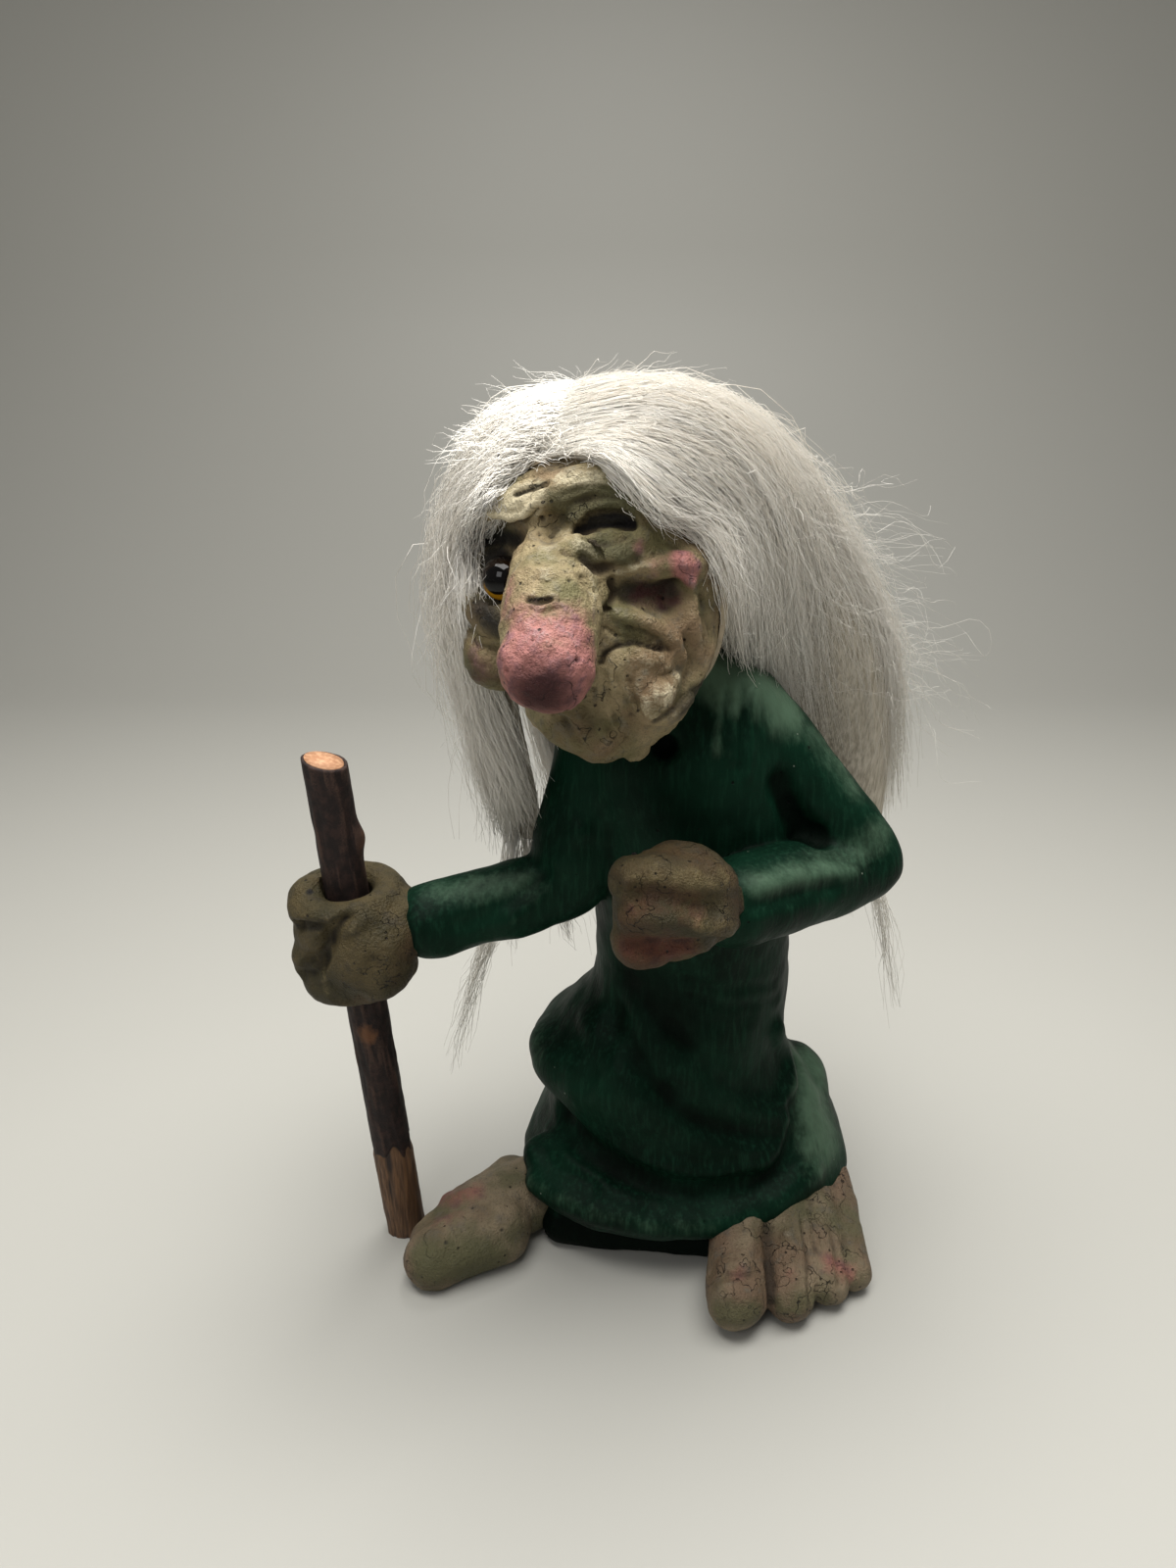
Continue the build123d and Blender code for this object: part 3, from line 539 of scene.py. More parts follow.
twigTones = {"bark": (25, 15, 14), "wornAndLit": (46, 30, 26), "ridge": (84, 62, 52), "crack": (11, 6, 6),
             "scar": (112, 74, 46), "old": (70, 48, 30), "bare": (116, 84, 56), "split": (34, 20, 12),
             "cut": (170, 122, 88), "fresh": (204, 158, 122)}
twigGrain = {"mid": 420, "fine": 2600, "fibre": (1500.0, 1500.0, 60.0), "cut": 900}


def barkFinish():
    f = Finish("twigBark")
    c = toneTable(twigTones)
    ridge = f.value("ridge")
    mid, fine = f.noise(twigGrain["mid"], 5, 0.6), f.noise(twigGrain["fine"], 3)
    base = f.mix(f.step(mid, 0.4, 0.65), c["bark"], c["wornAndLit"])
    base = f.mix(f.step(ridge + (fine - 0.5) * 0.6, 0.55, 1.0) * 0.6, base, c["ridge"])
    base = f.mix(1 - f.step(ridge, 0.0, 0.35), base, c["crack"])
    base = f.mix(f.step(f.value("scar") + (mid - 0.5) * 1.2, 0.3, 0.9) * 0.8, base, c["scar"])
    return f.wire(Base_Color=base, Roughness=0.72, Specular_IOR_Level=0.35,
                  Normal=f.bump(mid * 0.6 + fine * 0.4, 0.6, 0.0005))


def woodFinish():
    f = Finish("bareWood")
    c = toneTable(twigTones)
    fibre = f.fibre(twigGrain["fibre"], 4, 0.6)
    base = f.mix(f.step(fibre, 0.35, 0.7), c["old"], c["bare"])
    base = f.mix(1 - f.step(f.value("ridge"), 0.1, 0.5), base, c["split"])
    cut = f.mix(f.step(f.noise(twigGrain["cut"], 4), 0.35, 0.7), c["cut"], c["fresh"])
    base = f.mix(f.value("cutEnd"), base, cut)
    return f.wire(Base_Color=base, Roughness=0.68, Normal=f.bump(fibre, 0.5, 0.0004))


def plainFinish(name, rgb, rough):
    f = Finish(name)
    shade = tone(*[int(c * 0.88) for c in rgb])
    return f.wire(Base_Color=f.mix(f.step(f.noise(500, 4), 0.3, 0.7), shade, tone(*rgb)), Roughness=rough)


print("measures and finishes ready")


headClay = {
    "voxel": 0.4, "soften": 10, "ease": 2, "wallGap": 0.6,
    "rough": [(5, 0.4, 11), (2, 0.28, 12), (1, 0.14, 14)],
    "pits": {
        "count": 240, "radius": 0.62, "depth": -0.5, "size": (0.5, 1.3), "stain": (0.2, 0.8), "seed": 13},
    "rings": [
        (139.5, -3, -38, 6, 5), (142, -3, -37, 16, 12), (147, -2.5, -34, 28, 24),
        (156, -2.5, -30, 39, 36), (168, -3, -24.5, 46, 45), (180, -3.5, -21.5, 47, 45),
        (191, -4, -21.5, 36, 36), (196, -4.5, -22, 22, 22), (198, -4.5, -22, 10, 10)],
    "lumps": [
        (6.3, -40.5, 153.5, 7.2, 7.4, 6.6), (10, -33, 172, 8, 8, 7), (-23, -30.5, 159, 7, 7, 7.5),
        (-19.5, -28, 172, 7.5, 7.5, 8), (-6, -36, 164, 13, 7, 9), (-8, -35, 149, 10, 8, 6),
        (11.5, -37.5, 176, 4.6, 4.8, 4.6), (2.5, -36, 143, 3.4, 3.2, 4.6)],
    "tubes": [
        [(4, -35, 187, 5.5), (-6, -36, 187.5, 5.5), (-14, -35.5, 187.5, 5), (-22, -32, 185.5, 4.2)],
        [(-11.6, -34, 178.5, 7.2), (-11.5, -40.5, 174.5, 8.8), (-12.3, -49, 169.5, 8.5),
         (-13, -57, 162.5, 8.1)],
        [(0, -34, 147, 4.5), (3, -28, 143, 4), (5, -22, 141, 4)],
        [(-1, -41, 172.5, 3.4), (5, -41, 174.3, 3.8), (11.5, -38, 176, 4.6)],
        [(-26.5, -30.5, 167.5, 3.4), (-23, -35.5, 166.3, 4.2), (-18.5, -38.5, 166, 4)]],
    "strokes": [
        ([(510, 556), (506, 575), (506, 592)], 6, -4), ([(494, 552), (512, 548), (528, 549)], 3.4, -2.5),
        ([(566, 508), (588, 493), (615, 487), (640, 497), (652, 515)], 5, 2.2),
        ([(586, 530), (604, 518), (630, 515), (648, 525)], 2, 1.1),
        ([(596, 558), (616, 566), (640, 562), (652, 550)], 4.2, 2),
        ([(560, 545), (566, 528), (566, 508)], 3, -1.6),
        ([(640, 603), (662, 607), (686, 606)], 4.6, -3.4), ([(668, 618), (688, 620)], 4, -1.6),
        ([(634, 590), (660, 578), (690, 572)], 3, 1.2), ([(700, 576)], 3.4, 1.4),
        ([(700, 598), (702, 622), (707, 648)], 2.8, 2.2),
        ([(622, 606), (632, 622), (655, 633), (680, 650), (694, 668)], 2.8, 1.5),
        ([(700, 655), (706, 676), (700, 700), (690, 716)], 2.6, -1.6),
        ([(618, 690), (632, 672), (655, 668), (676, 674)], 3, 1.2), ([(655, 694), (680, 700)], 7.5, 1.5),
        ([(664, 718)], 6, 1), ([(716, 690), (724, 660)], 4, 0.8),
        ([(560, 745), (582, 755), (606, 758)], 5, 1), ([(484, 665), (491, 686)], 5, 1.2)],
    "cuts": [
        ([(588, 542), (604, 536), (620, 534), (645, 535)], 1.3, -2),
        ([(602, 528), (618, 526), (634, 526), (646, 534)], 1.2, -1.4),
        ([(598, 534), (618, 530), (640, 530)], 1.4, -1.6),
        ([(594, 568), (612, 580), (634, 581), (652, 572)], 1.4, -1.1),
        ([(596, 548), (618, 553), (642, 546)], 0.8, -0.5),
        ([(500, 523), (530, 527), (546, 514)], 0.9, 0.7),
        ([(498, 527), (530, 532), (548, 519)], 0.9, -0.9),
        ([(526, 505), (545, 498), (558, 493)], 0.8, -1),
        ([(510, 498), (530, 489), (552, 484)], 0.8, -0.5),
        ([(575, 505), (600, 497), (625, 500)], 0.9, -0.5),
        ([(580, 516), (604, 507), (630, 508)], 0.9, -0.5),
        ([(538, 611), (550, 613), (562, 611)], 0.8, -1.1),
        ([(541, 620), (552, 624), (570, 619)], 0.7, -0.5),
        ([(545, 575), (556, 578), (566, 574)], 0.7, -0.3),
        ([(543, 590), (556, 594), (568, 590)], 0.7, -0.3),
        ([(575, 562), (590, 570), (604, 573)], 0.8, -0.5),
        ([(590, 588), (602, 600), (604, 618)], 1, -0.6),
        ([(625, 592), (627, 606), (620, 622)], 1.2, -0.9),
        ([(612, 677), (620, 664), (642, 656), (676, 662)], 0.8, -0.9),
        ([(643, 651), (662, 656)], 1.2, -0.6), ([(618, 640), (630, 648), (640, 650)], 0.8, -0.5),
        ([(640, 640), (662, 648), (684, 664)], 0.8, -0.6),
        ([(616, 690), (622, 715), (630, 738)], 1.2, -0.6),
        ([(630, 690), (636, 712), (644, 730)], 1.2, -0.5),
        ([(606, 704), (612, 728), (620, 748)], 1.4, -0.5),
        ([(596, 722), (602, 740), (612, 756)], 1.4, -0.5),
        ([(575, 735), (584, 748), (592, 760)], 1.2, -0.6),
        ([(642, 694), (647, 712), (656, 730)], 0.9, -0.6), ([(486, 656), (506, 663)], 1.2, -0.9),
        ([(480, 676), (496, 680)], 0.8, -0.4), ([(484, 692), (500, 694)], 0.8, -0.4),
        ([(668, 736), (690, 722), (706, 706), (720, 693)], 1.4, -0.8),
        ([(708, 612), (716, 640), (720, 668)], 0.9, -0.5),
        ([(714, 606), (722, 634), (726, 655)], 0.8, -0.4)],
    "blush": [
        ([(530, 630), (555, 628), (592, 632)], 6.5, 0.55),
        ([(532, 648), (555, 644), (590, 648)], 7, 0.85), ([(520, 596), (515, 625)], 3.5, 0.45),
        ([(530, 680), (555, 690), (590, 680)], 11, 1), ([(530, 706), (556, 716), (584, 706)], 11, 1),
        ([(697, 570), (702, 584)], 4.6, 1), ([(676, 577)], 4.5, 0.5), ([(650, 606), (686, 608)], 5, 0.5),
        ([(484, 675), (490, 690)], 7, 0.4), ([(652, 557)], 2.6, 0.5)],
    # Some dark dabs are painted shade: under the hair at the hairline, in the eye socket and under the
    # brow, under the nose, in the cheek hollow beside it, in the mouth crease, and on the jaw flap and its
    # crease.
    "dark": [
        ([(588, 542), (604, 536), (620, 534), (645, 535)], 1.25, 1),
        ([(604, 531), (618, 529), (634, 529), (646, 534)], 1.35, 1), ([(562, 478), (606, 480)], 3, 0.4),
        ([(700, 722), (717, 698)], 4.5, 0.62), ([(490, 616), (504, 638)], 6, 0.75),
        ([(482, 688), (494, 692)], 7, 0.5), ([(506, 575), (505, 592)], 6.5, 1),
        ([(496, 552), (514, 549), (528, 551)], 3.2, 0.85), ([(552, 710)], 9.5, 0.85),
        ([(642, 602), (684, 605)], 4.6, 0.75), ([(676, 616)], 4, 0.6),
        ([(612, 677), (620, 664), (642, 656), (676, 662)], 0.65, 0.5),
        ([(645, 651), (660, 655)], 1.2, 0.3), ([(540, 612), (562, 611)], 0.7, 0.9),
        ([(526, 505), (545, 498), (558, 493)], 0.7, 0.8),
        ([(668, 736), (690, 722), (706, 706)], 1.2, 0.6), ([(604, 735)], 5, 0.4),
        ([(497, 640)], 5, 0.35)],
    # The cream on the chin lump is partly cream paint and partly painted highlight.
    "pale": [
        ([(508, 516), (540, 507)], 5, 0.9), ([(654, 692), (688, 702)], 9.5, 0.34), ([(662, 720)], 6, 0.3),
        ([(560, 560), (552, 600)], 5, 0.35), ([(600, 578), (608, 604)], 4.5, 0.45),
        ([(540, 640), (575, 646)], 7, 0.36), ([(575, 488), (620, 484)], 3, 0.6),
        ([(556, 533), (600, 560)], 3, 0.4), ([(632, 585), (660, 574)], 2, 0.4)],
    "moss": [
        ([(575, 515), (610, 505), (640, 512)], 6, 0.9), ([(600, 560), (640, 562)], 5, 0.8),
        ([(520, 545), (500, 548)], 4, 0.8), ([(640, 640)], 5, 0.5)]}


def makeHead(finish):
    clay = Casting("trollHead", headClay["voxel"])
    clay.rings(headClay["rings"])
    clay.assemble(headClay)
    clay.smooth(headClay["ease"])
    clay.settle()
    clay.strokes(headClay["cuts"])
    clay.texture(headClay)
    clay.settle()
    clay.paint(headClay)
    clay.pits(**headClay["pits"])
    clay.cover("head_filling", headClay["wallGap"])
    clay.settle()
    clay.wearShadeAndSheen()
    clay.finish(finish, "skin_paint", "head_shell")
    return clay


dressClay = {
    "voxel": 0.75, "soften": 8, "ease": 3, "wallGap": 0.6, "broad": 50, "shade": 2, "ringMesh": (96, 90),
    "plinthMesh": (96, 12), "foldSteps": 12, "foldShape": (7, -2),
    "rough": [(16, 0.7, 21), (4, 0.25, 22)],
    "rings": [
        (11, 20, 14, 84, 66), (14, 20, 14.3, 86, 69), (23, 20.5, 15, 80, 68), (34, 18.7, 13, 70.5, 62),
        (48, 12, 11, 65, 58), (60, 16, 9, 54, 50), (72, 19.5, 7, 47, 44), (100, 18, 1, 46, 42),
        (128, 15, -4, 50, 40), (146, 13, -6, 42, 30), (155, 9, -10, 24, 20)],
    "underside": 10.5,
    "plinth": [(0, 15, 14, 60, 50), (6, 15, 14, 61, 51), (13, 16, 14, 62, 52)],
    "lumps": [(48.5, 18, 29, 9.5, 13, 11)],
    "tubes": [
        [(26, -4, 138, 12), (40, -5.5, 124, 10.5), (55, -7, 107, 9), (52, -10, 104.5, 8.8),
         (38, -20, 105, 9.2), (23.5, -30.5, 106, 9)],
        [(-1, -4, 130, 12), (-7, -6, 112, 10.5), (-12, -7.5, 100, 9), (-26, -9.8, 96.5, 8.2),
         (-38, -11.6, 93.6, 8.4), (-41.5, -12, 92.6, 8.9)],
        [(-17, -6, 17, 4.6), (-10, -11.5, 16, 5), (0, -15, 15, 5), (14, -17, 14.5, 5),
         (28, -16, 15, 4.5)],
        [(-17, -2, 22, 5.5), (-9, -8.5, 21, 5.8), (3, -12.5, 20, 5.8), (16, -14.5, 19.5, 5.8),
         (29, -13, 20, 5)],
        [(-12, -6.5, 5.5, 6), (0, -7.5, 5.5, 6), (12, -9, 5.5, 6), (25, -10.5, 5.5, 6)]],
    "strokes": [
        (
         [(575, 1140), (600, 1168), (640, 1198), (690, 1216), (745, 1216), (790, 1203), (814, 1165),
          (811, 1130)],
         5.5, -2.6),
        ([(546, 1205), (580, 1222), (640, 1240), (700, 1250), (770, 1240), (830, 1200)], 5.5, 1.8),
        ([(548, 1160), (566, 1190), (600, 1210)], 4.5, -1.6),
        ([(600, 1040), (640, 1110), (700, 1162), (790, 1180)], 5, 1),
        ([(640, 1020), (690, 1090), (740, 1128), (798, 1140)], 4.5, 0.9),
        ([(625, 1030), (665, 1100), (720, 1148), (790, 1160)], 4, -1),
        ([(690, 1050), (735, 1095), (790, 1115)], 4, -0.8),
        ([(655, 1180), (720, 1196), (780, 1190)], 3, 0.8),
        ([(792, 1050), (804, 1090), (808, 1140)], 4, 1.8),
        ([(814, 1085), (819, 1120), (817, 1160)], 3, -1.6), ([(548, 1060), (552, 1100)], 9, 1.6),
        ([(640, 1000), (625, 1050), (596, 1110)], 4.5, -1.2),
        ([(700, 1000), (740, 1010), (790, 1004)], 2.2, -0.5),
        ([(705, 1016), (745, 1027), (792, 1020)], 2.2, -0.5), ([(735, 705), (731, 765)], 1.8, 0.7),
        ([(750, 700), (747, 775)], 1.8, 0.7), ([(770, 705), (764, 790)], 2, 0.7),
        ([(742, 705), (739, 770)], 1.5, -0.6), ([(760, 702), (756, 785)], 1.6, -0.6),
        ([(795, 800), (812, 835), (832, 856)], 4.5, -1.6), ([(678, 762)], 4.5, -4),
        ([(850, 905), (800, 915), (772, 925)], 3, -1), ([(870, 890), (820, 893), (775, 905)], 3.5, 0.9),
        ([(560, 890), (520, 925), (470, 945)], 3, -0.8),
        ([(590, 850), (560, 905), (520, 935)], 3.5, 0.8)],
    # pale dabs: drybrush paint, and painted highlight on the lit shoulder, sleeves, knee bulge, hem roll
    # and bustle
    "pale": [
        ([(760, 670), (800, 720)], 12, 1.1), ([(735, 700), (735, 770)], 4, 0.4),
        ([(548, 1205), (580, 1224), (640, 1240), (720, 1246)], 6, 0.22),
        ([(826, 1092), (842, 1160)], 16, 0.95), ([(552, 1050), (545, 1085)], 7, 0.35),
        ([(780, 900), (860, 876), (900, 850)], 8, 0.62), ([(450, 908), (540, 900)], 7, 0.6),
        ([(830, 750), (870, 800)], 8, 0.6)],
    # These dark dabs are painted shade: in the neck hole, under the fist at the waist, in the crease at
    # the inner arm, on the chest under the head and on the skirt front.
    "dark": [
        ([(678, 762)], 5, 1), ([(650, 995), (690, 1045)], 14, 0.75), ([(815, 815), (822, 845)], 6, 0.4),
        ([(660, 830), (740, 850)], 12, 0.5), ([(650, 1080), (720, 1150)], 14, 0.4)],
    "backFolds": [
        [(40, 42, 30), (36, 40, 60), (33, 30, 90)], [(20, 50, 25), (20, 42, 55), (20, 28, 90)],
        [(0, 44, 28), (6, 36, 58), (10, 24, 88)], [(-12, 36, 30), (-2, 28, 60)]]}


def makeDress(finish):
    clay = Casting("dressCasting", dressClay["voxel"])
    clay.rings(dressClay["rings"], *dressClay["ringMesh"])
    # the plinth under the hem, painted black below as painted shade
    clay.rings(dressClay["plinth"], *dressClay["plinthMesh"])
    clay.assemble(dressClay)
    for path in dressClay["backFolds"]:
        clay.stroke(rounded(path, dressClay["foldSteps"]), *dressClay["foldShape"])
    clay.smooth(dressClay["ease"])
    clay.settle()
    clay.texture(dressClay)
    clay.cover("body_filling", dressClay["wallGap"])
    clay.stand()
    clay.settle()
    clay.wearShadeAndSheen(dressClay["broad"])
    clay.paint(dressClay)
    # painted shade: the dress turns black below the hem, on the plinth
    under = np.clip((dressClay["underside"] - clay.co[:, 2]) / dressClay["shade"], 0, 1)
    clay.values["dark"] = np.maximum(clay.values["dark"], under)
    clay.finish(finish, "dress_paint", "dress_shell", "left_sleeve", "right_sleeve")


twigLine = {"foot": (-53, -2.5, 0), "top": (-62, -13, 131), "radius": 4.8, "peel": 27.0, "bore": 5.6,
            "lean": 0.28}


def twigPoint(along, around=0.0, radius=0.0):
    along, around, radius = np.broadcast_arrays(np.asarray(along, float), around, radius)
    foot, top = np.array(twigLine["foot"], float), np.array(twigLine["top"], float)
    way = unit(top - foot)
    side = unit(np.cross((0, 1, 0), way))
    front = np.cross(way, side)
    return (foot + along[..., None] * way + (radius * np.cos(around))[..., None] * side
            + (radius * np.sin(around))[..., None] * front)


fistClay = {
    "voxel": 0.5, "soften": 24, "rough": [(5, 0.35, 31), (1.6, 0.12, 32)],
    "lumps": [
        (12, -39, 111, 12, 11, 11.8), (7, -43, 111.5, 8.4, 8.5, 11.4), (2.8, -43.5, 117.2, 5.2, 6, 5),
        (4.2, -44.5, 105.6, 5.8, 6, 6.6), (10, -46.5, 116.5, 7, 4, 4.6)],
    "tubes": [[(21, -32, 107, 7.2), (12, -39, 110.5, 10.5)]],
    "strokes": [
        ([(644, 888), (690, 884), (745, 896)], 4.6, 1.2),
        ([(652, 914), (690, 918), (730, 928)], 3.8, -1.3),
        ([(640, 938), (690, 941), (746, 946)], 3.6, 1.2), ([(644, 966), (690, 966), (736, 962)], 3, -1.4),
        ([(650, 983), (700, 980)], 3, 0.6), ([(634, 872), (648, 871), (662, 866)], 0.9, -1.1),
        ([(628, 902)], 3, -1), ([(760, 890), (766, 930), (763, 965)], 1.6, -0.6)],
    "blush": [
        ([(655, 922), (706, 930)], 8, 0.38), ([(648, 966), (694, 966)], 7, 0.55),
        ([(690, 948)], 8, 0.35)],
    # painted shade in the hole on top and in the hollow between the fingers, painted highlight along the
    # raised finger bands
    "dark": [([(634, 872), (648, 871), (662, 866)], 1, 1), ([(652, 913), (690, 917)], 4.5, 0.3)],
    "pale": [([(660, 892), (740, 900)], 4.5, 0.42), ([(715, 942), (750, 946)], 5, 0.3)]}

leftFootClay = {
    "voxel": 0.62, "soften": 8, "rough": [(5, 0.35, 71), (1.6, 0.12, 72)],
    "tubes": [
        [(45, 25, 11, 13), (44.5, 12, 14, 13.5), (43, -2, 12.5, 12.5)],
        [(38, 2, 14, 9), (33, -14, 11, 8.2), (30, -25, 9, 7.4), (28.5, -34, 7.7, 7.5)],
        [(43, 2, 14, 8.5), (42.5, -14, 11, 7), (41.5, -24, 8.5, 6.2), (41, -32.5, 6.3, 6.1)],
        [(49, 4, 13, 8), (50.5, -10, 10, 6.2), (51, -20, 7.5, 5.2), (50.6, -28.5, 5.3, 5)],
        [(54, 8, 12, 7.5), (56.5, -5, 8.5, 5.8), (57.5, -15, 6.5, 4.6), (57.8, -24, 4.7, 4.4)],
        [(36, -6, 10, 9), (46, -6, 9, 9), (54, -3, 8, 7)],
        [(36, -15, 7.5, 7), (44, -14, 7, 7), (53, -10, 6.5, 6)],
        [(35.5, -8, 13, 8), (35.3, -18, 10, 6.5), (35.2, -27, 7.2, 5.2)],
        [(41.5, -28, 7, 6), (50.5, -25, 5.6, 4.8)], [(28.5, -33, 8.6, 7.4), (28, -35.5, 7.8, 7)]],
    "strokes": [
        ([(783, 1250), (784, 1290), (786, 1330)], 2.2, -0.8),
        ([(820, 1250), (826, 1290), (829, 1325)], 1.8, -1),
        ([(848, 1250), (855, 1280), (858, 1310)], 1.6, -0.9), ([(765, 1262), (758, 1290)], 3, 0.7),
        ([(724, 1297), (750, 1300), (776, 1297)], 2.6, -0.7), ([(790, 1308), (822, 1306)], 2, -0.5),
        ([(740, 1318), (762, 1318)], 4, 0.7), ([(803, 1260), (806, 1295)], 2.5, 0.7),
        ([(838, 1258), (843, 1290)], 2.2, 0.6)],
    "blush": [([(752, 1300)], 4, 0.4), ([(850, 1290), (866, 1300)], 5, 0.55), ([(806, 1300)], 3.5, 0.35)],
    "moss": [([(738, 1342), (770, 1342)], 6, 0.8), ([(800, 1335), (840, 1325)], 5, 0.7)],
    "dark": [([(742, 1300), (765, 1301)], 1.4, 0.45)]}

rightFootClay = {
    "voxel": 0.55, "soften": 8, "rough": [(5, 0.35, 81), (1.6, 0.12, 82)],
    "tubes": [
        [(6, 14, 8, 8), (-8, 8, 8.5, 9), (-22, -0.5, 8.2, 9.4), (-33, -9, 7.2, 9.6)],
        [(-29, -12, 7.5, 9), (-38, -17.5, 7, 8), (-43.5, -21, 6.2, 7.2)],
        [(-31, -6, 8.5, 8), (-40, -11.5, 7, 6.5), (-44.5, -14.5, 5.5, 5.8)],
        [(-29, 0, 8.2, 7), (-37.5, -4, 6.5, 5.4), (-42, -7, 4.8, 4.8)],
        [(-26, 5, 8, 6.5), (-33, 1.5, 6, 4.8), (-37.5, -1, 4.2, 4.1)]],
    "strokes": [([(470, 1262), (505, 1268), (540, 1262)], 4, -0.6), ([(455, 1222), (475, 1218)], 3, 0.8)],
    "blush": [([(452, 1222), (480, 1214)], 6, 0.55), ([(440, 1248), (462, 1240)], 5, 0.4)],
    "moss": [([(436, 1290), (500, 1292)], 9, 0.9)],
    "dark": [([(455, 1268)], 0.9, 0.8), ([(512, 1255)], 0.8, 0.8)]}


def makeLimb(name, plan, finish, node):
    clay = Casting(name, plan["voxel"])
    clay.assemble(plan)
    clay.texture(plan)
    clay.stand()
    clay.settle()
    clay.wearShadeAndSheen()
    clay.paint(plan)
    clay.finish(finish, "skin_paint", node)


gripClay = {
    "voxel": 0.5, "soften": 20, "fingers": 4, "beads": 40, "rough": [(5, 0.35, 41), (1.6, 0.12, 42)],
    "middle": 89, "reach": 9.3, "thick": 4, "pitch": 6,
    "lumps": [
        (-54, -17.5, 86.5, 10, 7.5, 10.5), (-68, -11, 97, 5.2, 7, 5.4), (-68, -12, 84.5, 5, 7, 6),
        (-64, -15, 79, 6, 5, 5), (-50, -10, 91, 7, 8.5, 10)],
    "tubes": [[(-40.5, -12, 93, 6), (-46, -12.5, 92.5, 7.6), (-51, -14, 91, 8.5)]],
    "strokes": [
        ([(353, 936), (338, 958), (325, 988)], 2.4, -2.4), ([(304, 945), (330, 948)], 2.2, -1.9),
        ([(306, 996), (326, 994)], 2.2, -1.4), ([(372, 950), (400, 960)], 7, 0.9),
        ([(306, 906), (318, 900), (330, 900)], 2.4, 0.7), ([(345, 1020), (380, 1028)], 2.5, -0.6),
        ([(436, 905), (430, 940), (424, 965)], 1.6, -0.5)],
    # The dabs along the finger grooves are painted shade, the pale dabs along the edges painted highlight.
    "dark": [
        ([(316, 910)], 1.3, 0.9), ([(353, 936), (338, 958), (325, 988)], 1.6, 0.5),
        ([(304, 945), (328, 948)], 1.4, 0.5)],
    "pale": [([(345, 960), (332, 985), (333, 1010)], 2.2, 0.45), ([(395, 925), (420, 920)], 4, 0.3)]}


def makeGrip(finish):
    clay = Casting("rightGrip", gripClay["voxel"])
    for finger in range(gripClay["fingers"]):
        along = gripClay["middle"] + (finger - (gripClay["fingers"] - 1) / 2) * gripClay["pitch"]
        for around in np.linspace(0, fullTurn, gripClay["beads"], endpoint=False):
            clay.lump(*twigPoint(along, around, gripClay["reach"]), *[gripClay["thick"]] * 3)
    clay.assemble(gripClay)
    clay.texture(gripClay)
    foot, way = twigPoint(0.0), unit(twigPoint(1.0) - twigPoint(0.0))
    rel = clay.co - foot
    along = (rel @ way)[:, None] * way
    out = rel - along
    near = np.linalg.norm(out, axis=1)
    push = np.maximum(near, twigLine["bore"]) / np.maximum(near, 1e-6)
    clay.co = foot + along + out * push[:, None]
    clay.settle()
    clay.wearShadeAndSheen()
    clay.paint(gripClay)
    clay.finish(finish, "skin_paint", "right_hand")


print("clay plans ready")


twigBark = {
    "around": 72, "rows": 160, "ridges": 0.34, "inset": 0.1, "inner": 0.75, "short": 0.25, "seed": 51,
    "tatters": [(2.5, 3, 0), (2.0, 5, 1)], "grain": (4.2, 9.0), "coarse": (0.65, 0.9),
    "close": (0.35, 0.4),
    "knot": {"at": 113.0, "turn": 0.0, "long": 3.2, "wide": 0.5, "high": 1.3},
    "scar": {"at": 64.0, "turn": -math.pi / 2, "long": 3.5, "wide": 0.55, "high": 0.35}}
twigWood = {"inset": 0.8, "seed": 61, "above": 4.0, "fade": 6.0, "swell": 0.9, "splits": 0.35}


def twigSurface(low, high, seed):  # the place along and round the twig, and how high its ridges are there
    around, rows = twigBark["around"], twigBark["rows"]
    angle = np.linspace(0, fullTurn, around, endpoint=False)
    along = low + (high - low) * np.linspace(0, 1, rows)[:, None]
    turn = np.broadcast_to(angle, along.shape)
    wide, long = twigBark["grain"]
    flat = np.stack([np.cos(turn) * wide, np.sin(turn) * wide, along / long], -1).reshape(-1, 3)
    ridge = 0.0
    for step, (share, size) in enumerate((twigBark["coarse"], twigBark["close"])):
        ridge = ridge + share * grain(flat, size, seed + step)
    return along, turn, ridge.reshape(rows, around)


def twigMark(along, turn, mark):  # a soft spot, 1 in its middle
    off = np.angle(np.exp(1j * (turn - mark["turn"])))
    return np.exp(-((along - mark["at"]) / mark["long"]) ** 2 - (off / mark["wide"]) ** 2)


def ridgeValue(ridge):
    return 0.5 + 0.7 * ridge


